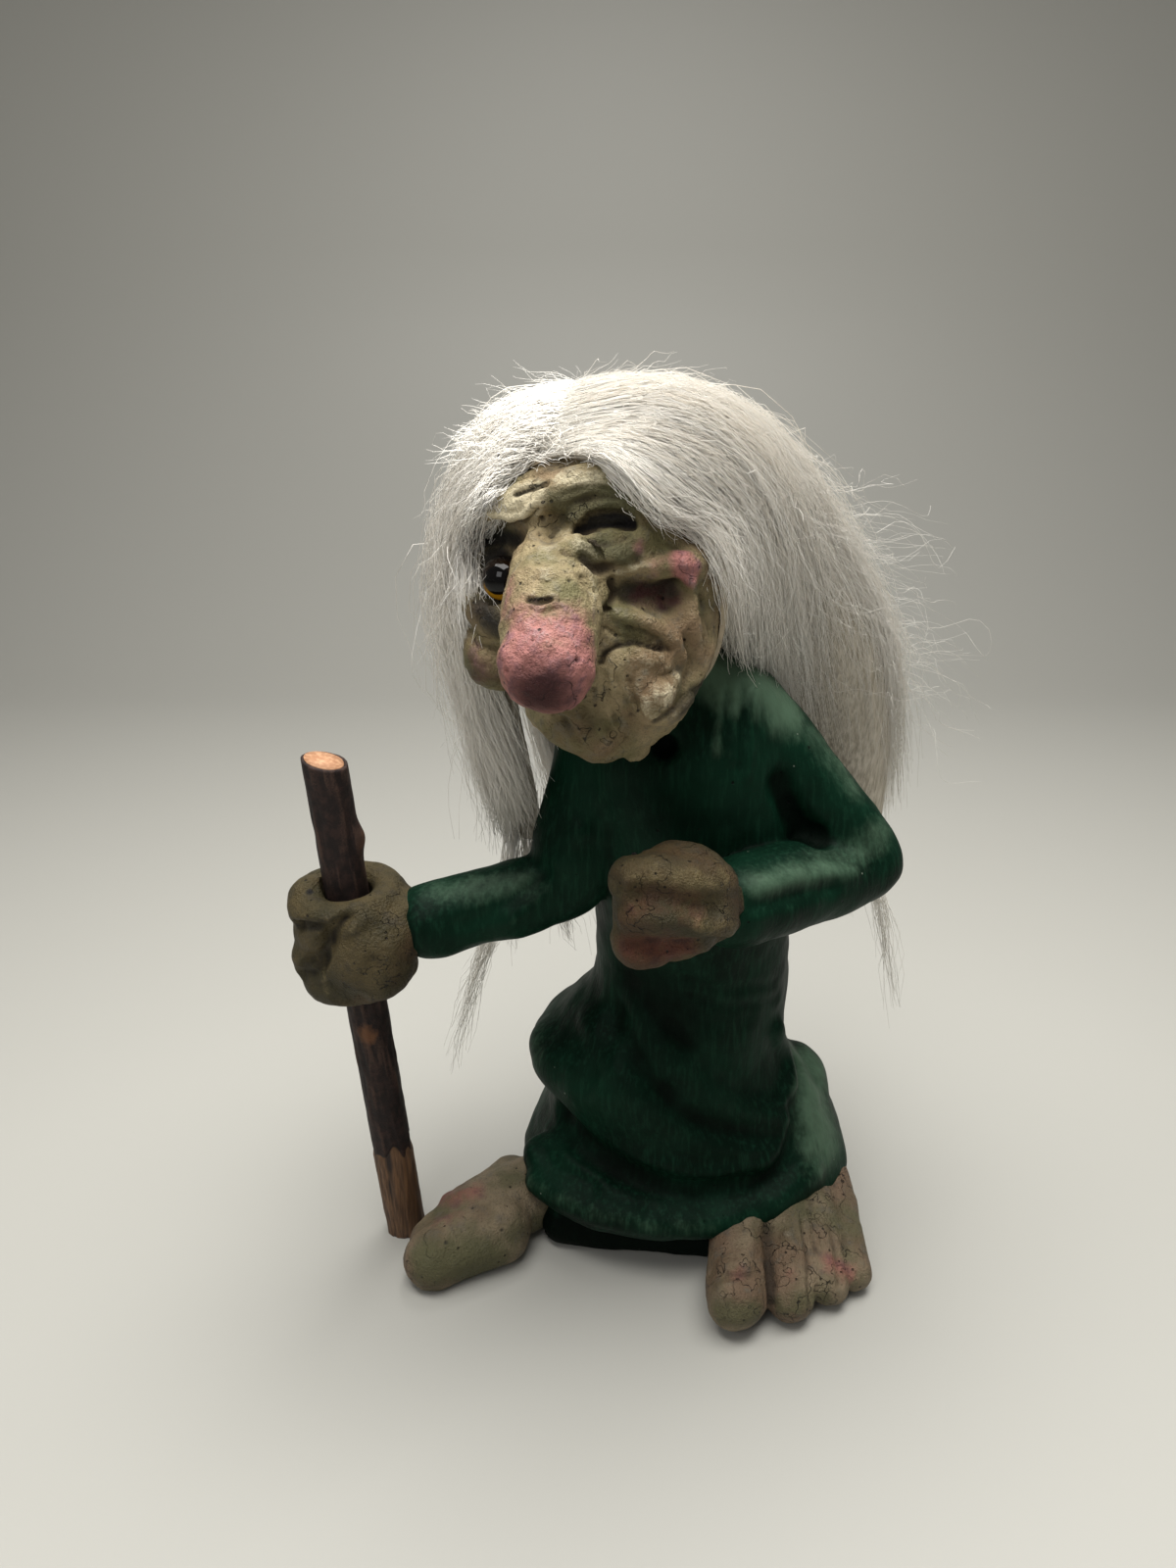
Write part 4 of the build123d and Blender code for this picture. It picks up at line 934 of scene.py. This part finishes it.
def makeBark(finish, angle, top):
    around, rows = twigBark["around"], twigBark["rows"]
    peel = twigLine["peel"] + sum(high * np.sin(waves * angle + shift)
                                  for high, waves, shift in twigBark["tatters"])
    along, turn, ridge = twigSurface(peel, top - twigBark["short"], twigBark["seed"])
    knot, scar = (twigMark(along, turn, twigBark[name]) for name in ("knot", "scar"))
    radius = twigLine["radius"] - twigBark["inset"] + twigBark["ridges"] * ridge
    bulge = twigBark["knot"]["high"] * knot + twigBark["scar"]["high"] * scar
    outer = twigPoint(along, turn, radius + bulge)
    inner = twigPoint(along, turn, np.full(along.shape, twigLine["radius"] - twigBark["inner"]))
    size = rows * around
    faces = tubeFaces(rows, around)
    k = np.arange(around)
    n = (k + 1) % around
    foot = np.stack([k, k + size, n + size, n], -1)
    end = np.stack([k, n, n + size, k + size], -1) + size - around
    piece = bulkMesh("twigBark", np.vstack([outer.reshape(-1, 3), inner.reshape(-1, 3)]),
                     np.vstack([faces, faces[:, ::-1] + size, foot, end]))
    value = np.clip(ridgeValue(ridge) + 0.5 * knot + 0.5 * scar, 0, 1).ravel()
    sore = (scar + 0.6 * knot).ravel()
    writeValues(piece, {"ridge": np.tile(value, 2), "scar": np.tile(sore, 2)})
    seat(piece, finish, "stick", "twig_bark", "stick_bark", "stick_knots")


def makeWood(finish, top):
    around, rows = twigBark["around"], twigBark["rows"]
    along, turn, ridge = twigSurface(np.zeros(around), top, twigWood["seed"])
    bare = np.clip((twigLine["peel"] + twigWood["above"] - along) / twigWood["fade"], 0, 1)
    swell = bare * (twigWood["swell"] + twigWood["splits"] * ridge)
    points = twigPoint(along, turn, twigLine["radius"] - twigWood["inset"] + swell).reshape(-1, 3)
    points[:, 2] = np.maximum(points[:, 2], 0.0)
    middle = np.array([points[:around].mean(0), points[-around:].mean(0)])
    size = rows * around
    last = size - around
    k = np.arange(around)
    n = (k + 1) % around
    tris = np.vstack([np.stack([n, k, np.full(around, size)], -1),
                      np.stack([last + k, last + n, np.full(around, size + 1)], -1)])
    piece = bulkMesh("twigWood", np.vstack([points, middle]), tubeFaces(rows, around), tris)
    cutEnd = np.zeros(size + 2)
    cutEnd[last:size] = 1
    cutEnd[size + 1] = 1
    value = np.concatenate([np.clip(ridgeValue(ridge), 0, 1).ravel(), ridgeValue(np.zeros(2))])
    writeValues(piece, {"ridge": value, "cutEnd": cutEnd})
    seat(piece, finish, "stick", "twig_wood", "stick_wood")


def makeTwig(bark, wood):
    angle = np.linspace(0, fullTurn, twigBark["around"], endpoint=False)
    length = np.linalg.norm(np.subtract(twigLine["top"], twigLine["foot"]))
    top = length + twigLine["lean"] * twigLine["radius"] * np.cos(angle + math.pi)
    makeBark(bark, angle, top)
    makeWood(wood, top)


eyeBall = {"middle": (-21.2, -34.5, 173.2), "radius": 4.2, "gaze": (-0.3, -0.95, 0.05),
           "pupil": (0.59, 0.65), "iris": (0.85, 0.90), "flecks": 1600}
# The bright yellow-brown of the iris is painted light: the light that the glass gathers on its lower edge.
eyeTones = {"pupil": (6, 5, 5), "brown": (24, 15, 8), "amber": (226, 164, 30), "rim": (20, 16, 14)}


def eyeFinish():
    f = Finish("glassEye")
    c = toneTable(eyeTones)
    ring = f.value("across")
    # painted light: the iris turns bright towards its lower side, where light through the glass would fall
    causticGlow = f.step(f.value("low") + (f.noise(eyeBall["flecks"], 3) - 0.5) * 0.3, 0.5, 0.95)
    base = f.mix(f.step(ring, *eyeBall["pupil"]), c["pupil"], f.mix(causticGlow, c["brown"], c["amber"]))
    base = f.mix(f.step(ring, *eyeBall["iris"]), base, c["rim"])
    return f.wire(Base_Color=base, Roughness=0.3, Specular_IOR_Level=0.0, Coat_Weight=1.0,
                  Coat_Roughness=0.02, Coat_IOR=1.35)


def makeEye(finish):
    points, faces = unitBall(bpy.ops.mesh.primitive_uv_sphere_add, segments=64, ring_count=40)
    piece = newMesh("eyeBall", points * eyeBall["radius"] + eyeBall["middle"], faces)
    gaze = unit(eyeBall["gaze"])
    ahead = points @ gaze
    across = np.linalg.norm(points - np.outer(ahead, gaze), axis=1)
    across = np.where(ahead > 0, across, 2 - across)
    # how low each point sits on the ball, for the painted light on the iris
    writeValues(piece, {"across": across, "low": 0.5 - 0.5 * points[:, 2]})
    smoothFaces(piece.data)
    seat(piece, finish, "figure", "eye_glass", "eye_glass", "eye_iris", "eye_pupil")


hairBody = {
    "voxel": 1.5, "soften": 12, "rings": 50, "around": 48, "shrink": 0.84,
    "crown": (-4, -20, 178, 33, 33, 30), "hairline": ((-9, -33, 187), (-0.18, -0.9, -0.25)),
    "setBack": 11,
    "locks": [
        [(-10, -14, 197, 8, 6), (-24, -14, 187, 8, 7), (-30, -11, 166, 7.5, 8), (-27, -7, 142, 7, 8),
         (-23, -2, 122, 6, 7), (-19, 3, 106, 4, 5)],
        [(0, -12, 195, 11, 11), (16, -4, 188, 13, 13), (32, 7, 172, 15, 13), (47, 17, 150, 16, 11),
         (58, 24, 125, 12, 8), (64, 28, 98, 6, 5)],
        [(0, -4, 194, 18, 10), (5, 14, 175, 29, 12), (11, 26, 147, 35, 11), (16, 35, 115, 34, 9),
         (19, 41, 82, 28, 7), (21, 48, 52, 18, 4)]]}

hairSheets = {
    "leftSide": {
        "edge": [
            (566, 464), (534, 474), (517, 488), (503, 512), (494, 532), (488, 550), (486, 575),
            (486, 610)],
        "tail": [(-28, -24, 158), (-25, -19, 146), (-21, -14, 132), (-16, -8, 115)],
        "guides": [
            [(-3, -29, 199), (-11, -31, 200), (-20, -30, 196), (-28.5, -26, 183), (-31.5, -20, 164),
             (-29, -14, 146), (-25, -10, 128), (-21, -6, 112)],
            [(-2, -21, 204), (-11, -22, 204.5), (-23, -20, 199), (-31, -17, 185), (-33.5, -13, 166),
             (-31, -9, 146), (-28, -5, 126), (-25, -2, 108)],
            [(0, -12, 204), (-10, -12, 204), (-22, -9, 198), (-30, -5, 184), (-32, -1, 166),
             (-30, 2, 146), (-26, 4, 126), (-22, 6, 106)]],
        "thick": (1.2, 2.2, 2.8, 3, 3, 3, 2.5, 1.5), "strands": 4600, "clumps": 110},
    "rightSweep": {
        "edge": [
            (534, 470), (588, 465), (617, 478), (643, 504), (662, 528), (702, 546), (723, 583),
            (735, 628)],
        "tail": [(24, -11, 154), (28, -2, 141)],
        "guides": [
            [(-14, -33, 196), (-8, -34, 197.5), (4, -36, 198), (15, -31, 193), (23, -24, 183),
             (28, -15, 169), (32, -3, 152), (38, 10, 130)],
            [(-14, -29, 200), (-7, -31, 202), (6, -32, 203), (19, -26, 197), (29, -16, 186),
             (36, -4, 169), (44, 9, 150), (53, 19, 122)],
            [(-13, -22, 203), (-6, -24, 205), (8, -23, 205), (22, -15, 199), (34, -4, 188), (46, 7, 170),
             (58, 16, 148), (65, 24, 114)],
            [(-12, -14, 203), (-5, -15, 204), (9, -11, 204), (24, -3, 198), (38, 7, 186), (52, 15, 167),
             (65, 22, 144), (70, 27, 105)],
            [(-10, -8, 203), (-4, -7, 204), (9, 0, 202), (23, 9, 193), (38, 17, 178), (52, 24, 158),
             (64, 28, 133), (69, 31, 100)]],
        "thick": (1.2, 2.2, 3, 3.5, 4, 4, 4, 2.5), "strands": 8800, "clumps": 200},
    "backFall": {
        "guides": [
            [(4, -6, 204), (22, 6, 195), (35, 13, 176), (46, 25, 147), (50, 35, 115), (47, 41, 82),
             (39, 48, 54)],
            [(2, -5, 205), (12, 11, 197), (20, 24, 178), (29, 36, 148), (33, 43, 115), (33, 47, 82),
             (30, 51, 53)],
            [(-2, -5, 205), (2, 13, 198), (5, 28, 178), (11, 38, 148), (16, 45, 115), (19, 49, 82),
             (21, 52, 52)],
            [(-6, -6, 204), (-9, 10, 196), (-10, 23, 177), (-7, 35, 147), (-1, 42, 115), (5, 46, 83),
             (12, 51, 53)],
            [(-9, -8, 203), (-19, 4, 193), (-24, 13, 175), (-24, 25, 147), (-18, 34, 116), (-9, 40, 86),
             (3, 47, 56)]],
        "thick": (1.5, 3, 4, 4, 4, 3, 2), "strands": 5000, "clumps": 110}}

hairWisps = {
    "reach": (0.5, 1), "gather": 0.75, "tint": (0.3, 0.8), "calm": 0.7,
    "guides": [
        [(-22, 2, 118), (-25, 7, 95), (-31, 9, 75), (-37, 10, 55), (-41, 11, 37)],
        [(-20, 4, 116), (-20, 8, 98), (-23, 10, 84), (-26, 11, 72)],
        [(-14, 6, 112), (-13, 9, 96), (-12, 11, 84), (-10, 12, 74)],
        [(63, 27, 110), (67, 29, 90), (73, 31, 68), (79, 32, 40)],
        [(60, 27, 112), (62, 30, 92), (64, 31, 74)], [(50, 27, 110), (51, 30, 90), (53, 31, 78)]],
    "strands": 80, "spread": 1.5}
hairLook = {"seed": 7, "columns": 48, "rows": 60, "steps": 9, "radius": 0.085, "taper": 0.7, "batch": 3000,
            "across": (0.31, 0.52, 0.79), "limits": (90.0, 62.0, 220.0), "edgeLift": 1.6}
hairFlow = {"crowd": 0.85, "clumpReach": 9, "pull": 0.35, "pullLate": 1.3, "startBy": 0.3, "endFrom": 0.6,
            "tint": (0.6, 0.2, 0.2), "frizz": 2.6, "wildShare": 0.5, "tame": 0.32,
            "sways": [(0.9, 1.0), (2.2, 0.5), (4.5, 0.22)], "swayLate": 1.2}
hairStrays = {"shape": {"strands": 230, "clumps": 20, "steps": 18}, "loose": 5.0}
hairFuzz = {"steps": 10, "leftSide": 420, "rightSweep": 700, "backFall": 260, "length": (3.0, 9.0),
            "bend": (1, 0.35), "turnLate": 2, "lift": 0.12, "mess": 0.26, "curl": 0.9, "radius": 0.05,
            "middle": (-4, -14, 160), "tint": (0.4, 1.0), "tips": 4}
hairFly = {"steps": 24, "strands": 170, "sheet": "rightSweep", "from": (0.5, 0.85), "firstColumn": 16,
           "length": (16.0, 46.0), "bend": (0.5, 0.6), "turnLate": 1.5, "out": (1.0, -0.1, 0.0),
           "follow": 0.5, "mess": 0.35, "curl": 3.4, "radius": 0.06, "tint": (0.4, 1.0)}
hairRuff = {"steps": 9, "strands": 700, "length": (4, 10), "bend": (0.55, 0.6), "turnLate": 2,
            "middle": (-5, -20, 178), "half": (29, 30, 25), "turn": (0.45, 1.15), "deep": 0.8,
            "high": (0.55, 0.99, 0.99), "lean": (-0.3, 0.0, 0.25), "mess": 0.45, "sag": (1, 1, -0.6),
            "sagMess": 0.3, "curl": 0.7, "tint": (0.5, 1.0)}


def sheetGrid(guides):  # points over a sheet of hair, by column and then along it
    lines = np.array([rounded(line, hairLook["rows"]) for line in guides])
    across = [rounded(lines[:, k], hairLook["columns"]) for k in range(hairLook["rows"])]
    return np.array(across).transpose(1, 0, 2)


def sheetNormals(grid):
    return unit(np.cross(np.gradient(grid, axis=1), np.gradient(grid, axis=0)))


def sheetThickness(plan, share):
    return np.interp(share, np.linspace(0, 1, len(plan["thick"])), plan["thick"])


def alongStrand(steps):
    return np.linspace(0, 1, steps)[None, :, None]


def strandMesh(name, lines, tints, finish, *nodes, thick=hairLook["radius"]):  # three-sided closed hairs
    count, steps = lines.shape[:2]
    lines = np.minimum(lines, hairLook["limits"])
    along = unit(np.gradient(lines, axis=1))
    side = unit(np.cross(along, hairLook["across"]))
    other = np.cross(along, side)
    t = np.linspace(0, 1, steps)
    radius = (thick * (1 - hairLook["taper"] * t ** 2))[None, :, None]
    points = np.stack([lines + radius * (math.cos(a) * side + math.sin(a) * other)
                       for a in (0, fullTurn / 3, 2 * fullTurn / 3)], 2)
    starts = (np.arange(count) * steps * 3)[:, None, None]
    quads = (tubeFaces(steps, 3)[None] + starts).reshape(-1, 4)
    ends = np.array([[2, 1, 0], [steps * 3 - 3, steps * 3 - 2, steps * 3 - 1]])
    piece = bulkMesh(name, points.reshape(-1, 3), quads, (ends[None] + starts).reshape(-1, 3))
    writeValues(piece, {"along": np.tile(np.repeat(t, 3), count), "strand": np.repeat(tints, steps * 3)})
    seat(piece, finish, "figure", "hair", *nodes)


def wander(lines, rng, amount):  # a slow sway and a finer kink on every strand, more towards its end
    count, steps = lines.shape[:2]
    t = alongStrand(steps)
    for turns, share in hairFlow["sways"]:
        phase = rng.uniform(0, fullTurn, (count, 1, 3))
        rate = turns * rng.uniform(0.6, 1.4, (count, 1, 3))
        size = rng.normal(0, 1, (count, 1, 3))
        reach = amount * share * size * t ** hairFlow["swayLate"]
        lines = lines + reach * np.sin(fullTurn * rate * t + phase)
    return lines


def sheetStrands(plan, rng):  # hairs that follow a sheet and gather in clumps towards their ends
    columns, rows = hairLook["columns"], hairLook["rows"]
    count, steps = plan["strands"], plan.get("steps", hairLook["steps"])
    grid, normal = plan["grid"], sheetNormals(plan["grid"])
    u, w = rng.uniform(0, 1, count) ** hairFlow["crowd"], rng.uniform(-1, 1, count)
    middle = rng.uniform(0, 1, (plan["clumps"], 2)) * (1, 2) - (0, 1)
    gap = (u[:, None] - middle[:, 0]) ** 2 * hairFlow["clumpReach"] + (w[:, None] - middle[:, 1]) ** 2
    near = gap.argmin(1)
    t = np.linspace(0, 1, steps)[None]
    pull = hairFlow["pull"] * t ** hairFlow["pullLate"]
    uu = u[:, None] * (1 - pull) + middle[near, 0][:, None] * pull
    ww = w[:, None] * (1 - pull) + middle[near, 1][:, None] * pull
    start = hairFlow["startBy"] * rng.uniform(0, 1, count)[:, None] ** 2
    end = rng.uniform(hairFlow["endFrom"], 1.0, count)[:, None]
    at = (start + t * (end - start)) * (rows - 1)
    i = np.minimum(at.astype(int), rows - 2)
    c = np.minimum((uu * (columns - 1)).astype(int), columns - 2)
    fi, fc = (at - i)[..., None], (uu * (columns - 1) - c)[..., None]

    def look(table):
        return ((1 - fc) * ((1 - fi) * table[c, i] + fi * table[c, i + 1])
                + fc * ((1 - fi) * table[c + 1, i] + fi * table[c + 1, i + 1]))
    lines = look(grid) + look(normal) * (ww * sheetThickness(plan, at / (rows - 1)))[..., None]
    mean, each, clump = hairFlow["tint"]
    tint = rng.normal(mean, each, count) + clump * rng.normal(0, 1, plan["clumps"])[near]
    wild = np.where(rng.uniform(0, 1, count) < hairFlow["wildShare"], 1.0, hairFlow["tame"])
    return wander(lines, rng, hairFlow["frizz"] * wild[:, None, None]), np.clip(tint, 0, 1)


def makeHairBody(finish):  # the closed mass that the strands lie on
    clay = Casting("hairBody", hairBody["voxel"])
    shrink, rows, around = hairBody["shrink"], hairBody["rings"], hairBody["around"]
    x, y, z, *half = hairBody["crown"]
    clay.lump(x, y, z, *[shrink * size for size in half])
    angle = np.linspace(0, fullTurn, around, endpoint=False)[None, :, None]
    for lock in hairBody["locks"]:
        rings = rounded(lock, rows)
        way = unit(np.gradient(rings[:, :3], axis=0))
        across = unit(np.cross(way, (0, 1, 0)))
        other = np.cross(way, across)
        points = (rings[:, None, :3] + shrink * rings[:, None, 3:4] * np.cos(angle) * across[:, None]
                  + shrink * rings[:, None, 4:5] * np.sin(angle) * other[:, None])
        clay.loft(points.reshape(-1, 3), rows, around)
    clay.remesh(hairBody["soften"])
    place, way = hairBody["hairline"]
    out = np.maximum((clay.co - place) @ unit(way) + hairBody["setBack"], 0)
    clay.co -= out[:, None] * unit(way)
    clay.finish(finish, "hair", "hair_crown", "hair_left_curtain", "hair_right_curtain", "hair_back")


def wispStrands(rng):  # thin locks that hang below the rest
    rows, count = hairLook["rows"], hairWisps["strands"]
    t = alongStrand(hairLook["steps"])
    lines, tints = [], []
    for guide in hairWisps["guides"]:
        line = rounded(guide, rows)
        start = rng.normal(0, hairWisps["spread"], (count, 1, 3))
        reach = rng.uniform(*hairWisps["reach"], (count, 1))
        at = (t[..., 0] * reach * (rows - 1)).astype(int)
        lines.append(line[at] + start * (1 - hairWisps["gather"] * t))
        tints.append(rng.uniform(*hairWisps["tint"], count))
    lines = wander(np.concatenate(lines), rng, hairWisps["calm"] * hairFlow["frizz"])
    return lines, np.concatenate(tints)


def growHairs(plan, root, first, later, rng):  # hairs that set out one way and turn another
    t = alongStrand(plan["steps"])
    early, late = plan["bend"]
    length = rng.uniform(*plan["length"], (len(root), 1, 1))
    turned = t ** plan["turnLate"] * late * later[:, None]
    lines = root[:, None] + length * (t * early * first[:, None] + turned)
    return wander(lines, rng, plan["curl"]), rng.uniform(*plan["tint"], len(root))


def ruffStrands(rng):  # short ruffled hair over the crown and the temple
    count = hairRuff["strands"]
    turn = rng.uniform(*hairRuff["turn"], count) * math.pi
    high = rng.triangular(*hairRuff["high"], count)
    flat = np.sqrt(1 - high ** 2)
    way = np.stack([flat * np.cos(turn), -flat * np.sin(turn) * hairRuff["deep"], high], 1)
    root = np.array(hairRuff["middle"]) + way * hairRuff["half"]
    lean = unit(way + rng.normal(0, hairRuff["mess"], (count, 3)) + hairRuff["lean"])
    droop = unit(way * hairRuff["sag"] + rng.normal(0, hairRuff["sagMess"], (count, 3)))
    return growHairs(hairRuff, root, lean, droop, rng)


def strayStrands(rng):  # longer hairs that have come loose from the sheets
    lines, tints = [], []
    for plan in hairSheets.values():
        line, tint = sheetStrands(dict(plan, **hairStrays["shape"]), rng)
        lines.append(wander(line, rng, hairStrays["loose"]))
        tints.append(tint)
    return np.concatenate(lines), np.concatenate(tints)


def fuzzStrands(plan, count, rng):  # short loose hairs that stand off a sheet
    rows, grid = hairLook["rows"], plan["grid"]
    c, i = rng.integers(0, hairLook["columns"], count), rng.integers(1, rows - hairFuzz["tips"], count)
    root, along = grid[c, i], unit(np.gradient(grid, axis=1)[c, i])
    away = sheetNormals(grid)[c, i]
    away = away * np.sign(((root - hairFuzz["middle"]) * away).sum(1, keepdims=True))
    root = root + away * sheetThickness(plan, i / rows)[:, None]
    lean = unit(along + hairFuzz["lift"] * away + rng.normal(0, hairFuzz["mess"], (count, 3)))
    return growHairs(hairFuzz, root, lean, along, rng)


def flyaways(rng):  # long curling hairs that leave the sweep on the right
    grid, count = hairSheets[hairFly["sheet"]]["grid"], hairFly["strands"]
    c = rng.integers(hairFly["firstColumn"], hairLook["columns"], count)
    i = (rng.uniform(*hairFly["from"], count) * (hairLook["rows"] - 1)).astype(int)
    root, along = grid[c, i], unit(np.gradient(grid, axis=1)[c, i])
    lean = unit(hairFly["out"] + hairFly["follow"] * along + rng.normal(0, hairFly["mess"], (count, 3)))
    return growHairs(hairFly, root, along, lean, rng)


def edgeLine(head, pixels):  # the hairline on the brow and the temples, a little in front of them
    return [head.seen(x, y) - photoRay(x, y)[1] * hairLook["edgeLift"] for x, y in pixels]


def makeHair(head, strands, mass):
    rng = np.random.default_rng(hairLook["seed"])
    makeHairBody(mass)
    batch = hairLook["batch"]
    for name, plan in hairSheets.items():
        edge = [edgeLine(head, plan["edge"]) + plan["tail"]] if "edge" in plan else []
        plan["grid"] = sheetGrid(edge + plan["guides"])
        lines, tints = sheetStrands(plan, rng)
        for part in range(0, len(lines), batch):
            some = slice(part, part + batch)
            strandMesh(f"{name}{part // batch + 1}", lines[some], tints[some], strands)
    strandMesh("hairWisps", *wispStrands(rng), strands, "hair_left_wisp", "hair_right_wisp")
    strandMesh("ruffHairs", *ruffStrands(rng), strands)
    strandMesh("strayHairs", *strayStrands(rng), strands)
    fuzz = [fuzzStrands(plan, hairFuzz[name], rng) for name, plan in hairSheets.items()]
    lines, tints = (np.concatenate(part) for part in zip(*fuzz))
    strandMesh("fuzzHairs", lines, tints, strands, thick=hairFuzz["radius"])
    strandMesh("flyawayHairs", *flyaways(rng), strands, thick=hairFly["radius"])


innerFinishes = {  # colour, roughness and nodes
    "foam": ((206, 190, 140), 0.85, ("body_filling", "head_filling")),
    "plug": ((70, 60, 48), 0.8, ("base_plug",)),
    "wire": ((150, 150, 150), 0.35, ("left_arm_wire", "right_arm_wire", "eye_pin")),
    "dowel": ((200, 165, 115), 0.7, ("left_leg_peg", "right_leg_peg", "neck_dowel")),
    "pelt": ((205, 190, 165), 0.9, ("hair_pelt",))}


def dressInner():
    for kind, (rgb, rough, nodes) in innerFinishes.items():
        finish = plainFinish(kind + "Finish", rgb, rough)
        for node in nodes:
            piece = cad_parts[node]
            piece.data.materials.clear()
            piece.data.materials.append(finish)


studio = {"floor": (178, 177, 171), "front": -900, "bendAt": 500, "bend": 300, "high": 1500, "half": 1500,
          "world": 0.22, "sky": (236, 235, 230)}
lights = {
    "topLight": {"place": (10, -10, 640), "aim": (0, 0, 80), "size": (0.6, 0.5), "power": 7.4,
                 "warmth": (1.0, 0.985, 0.95)},
    "frontFill": {"place": (-220, -450, 420), "aim": (0, 0, 90), "size": (0.22, 0.22), "power": 0.5,
                  "warmth": (1, 1, 1)}}


def makeStage():
    start, bend, half = studio["bendAt"], studio["bend"], studio["half"]
    profile = [(studio["front"], 0), (start, 0)]
    for a in np.linspace(0, math.pi / 2, 12)[1:]:
        profile.append((start + bend * math.sin(a), bend - bend * math.cos(a)))
    profile.append((start + bend, studio["high"]))
    points = [(x, y, z) for y, z in profile for x in (-half, half)]
    faces = [[2 * k, 2 * k + 1, 2 * k + 3, 2 * k + 2] for k in range(len(profile) - 1)]
    sweep = newMesh("paperSweep", points, faces)
    smoothFaces(sweep.data)
    f = Finish("paper")
    sweep.data.materials.append(f.wire(Base_Color=tone(*studio["floor"]), Roughness=0.5,
                                       Normal=f.bump(f.noise(2500, 2), 0.05, 0.0002)))


def makeLight():
    for name, plan in lights.items():
        bpy.ops.object.light_add(type="AREA", location=toFrame(plan["place"]))
        lamp = bpy.context.object
        lamp.name = name
        lamp.data.energy, lamp.data.color = plan["power"], plan["warmth"]
        lamp.data.shape = "RECTANGLE"
        lamp.data.size, lamp.data.size_y = plan["size"]
        way = toFrame(plan["aim"]) - toFrame(plan["place"])
        lamp.rotation_euler = mathutils.Vector(way).to_track_quat("-Z", "Y").to_euler()
    world = bpy.context.scene.world or bpy.data.worlds.new("studio")
    bpy.context.scene.world = world
    world.use_nodes = True
    back = world.node_tree.nodes["Background"]
    back.inputs[0].default_value = tone(*studio["sky"])
    back.inputs[1].default_value = studio["world"]


bpy.context.scene.view_settings.view_transform = "Standard"
addCamera()
makeStage()
makeLight()
dressInner()
head = makeHead(skinFinish("facePaint", skinTones))
print("head made")
makeDress(dressFinish())
print("dress made")
handShadePaint, footPaint = skinFinish("handShadePaint", handShadeTones), skinFinish("footPaint", footTones)
makeLimb("leftFist", fistClay, handShadePaint, "left_hand")
makeGrip(handShadePaint)
makeLimb("leftFoot", leftFootClay, footPaint, "left_foot")
makeLimb("rightFoot", rightFootClay, footPaint, "right_foot")
print("hands and feet made")
makeTwig(barkFinish(), woodFinish())
makeEye(eyeFinish())
print("twig and eye made")
makeHair(head, hairFinish(), massFinish())
print("hair made")
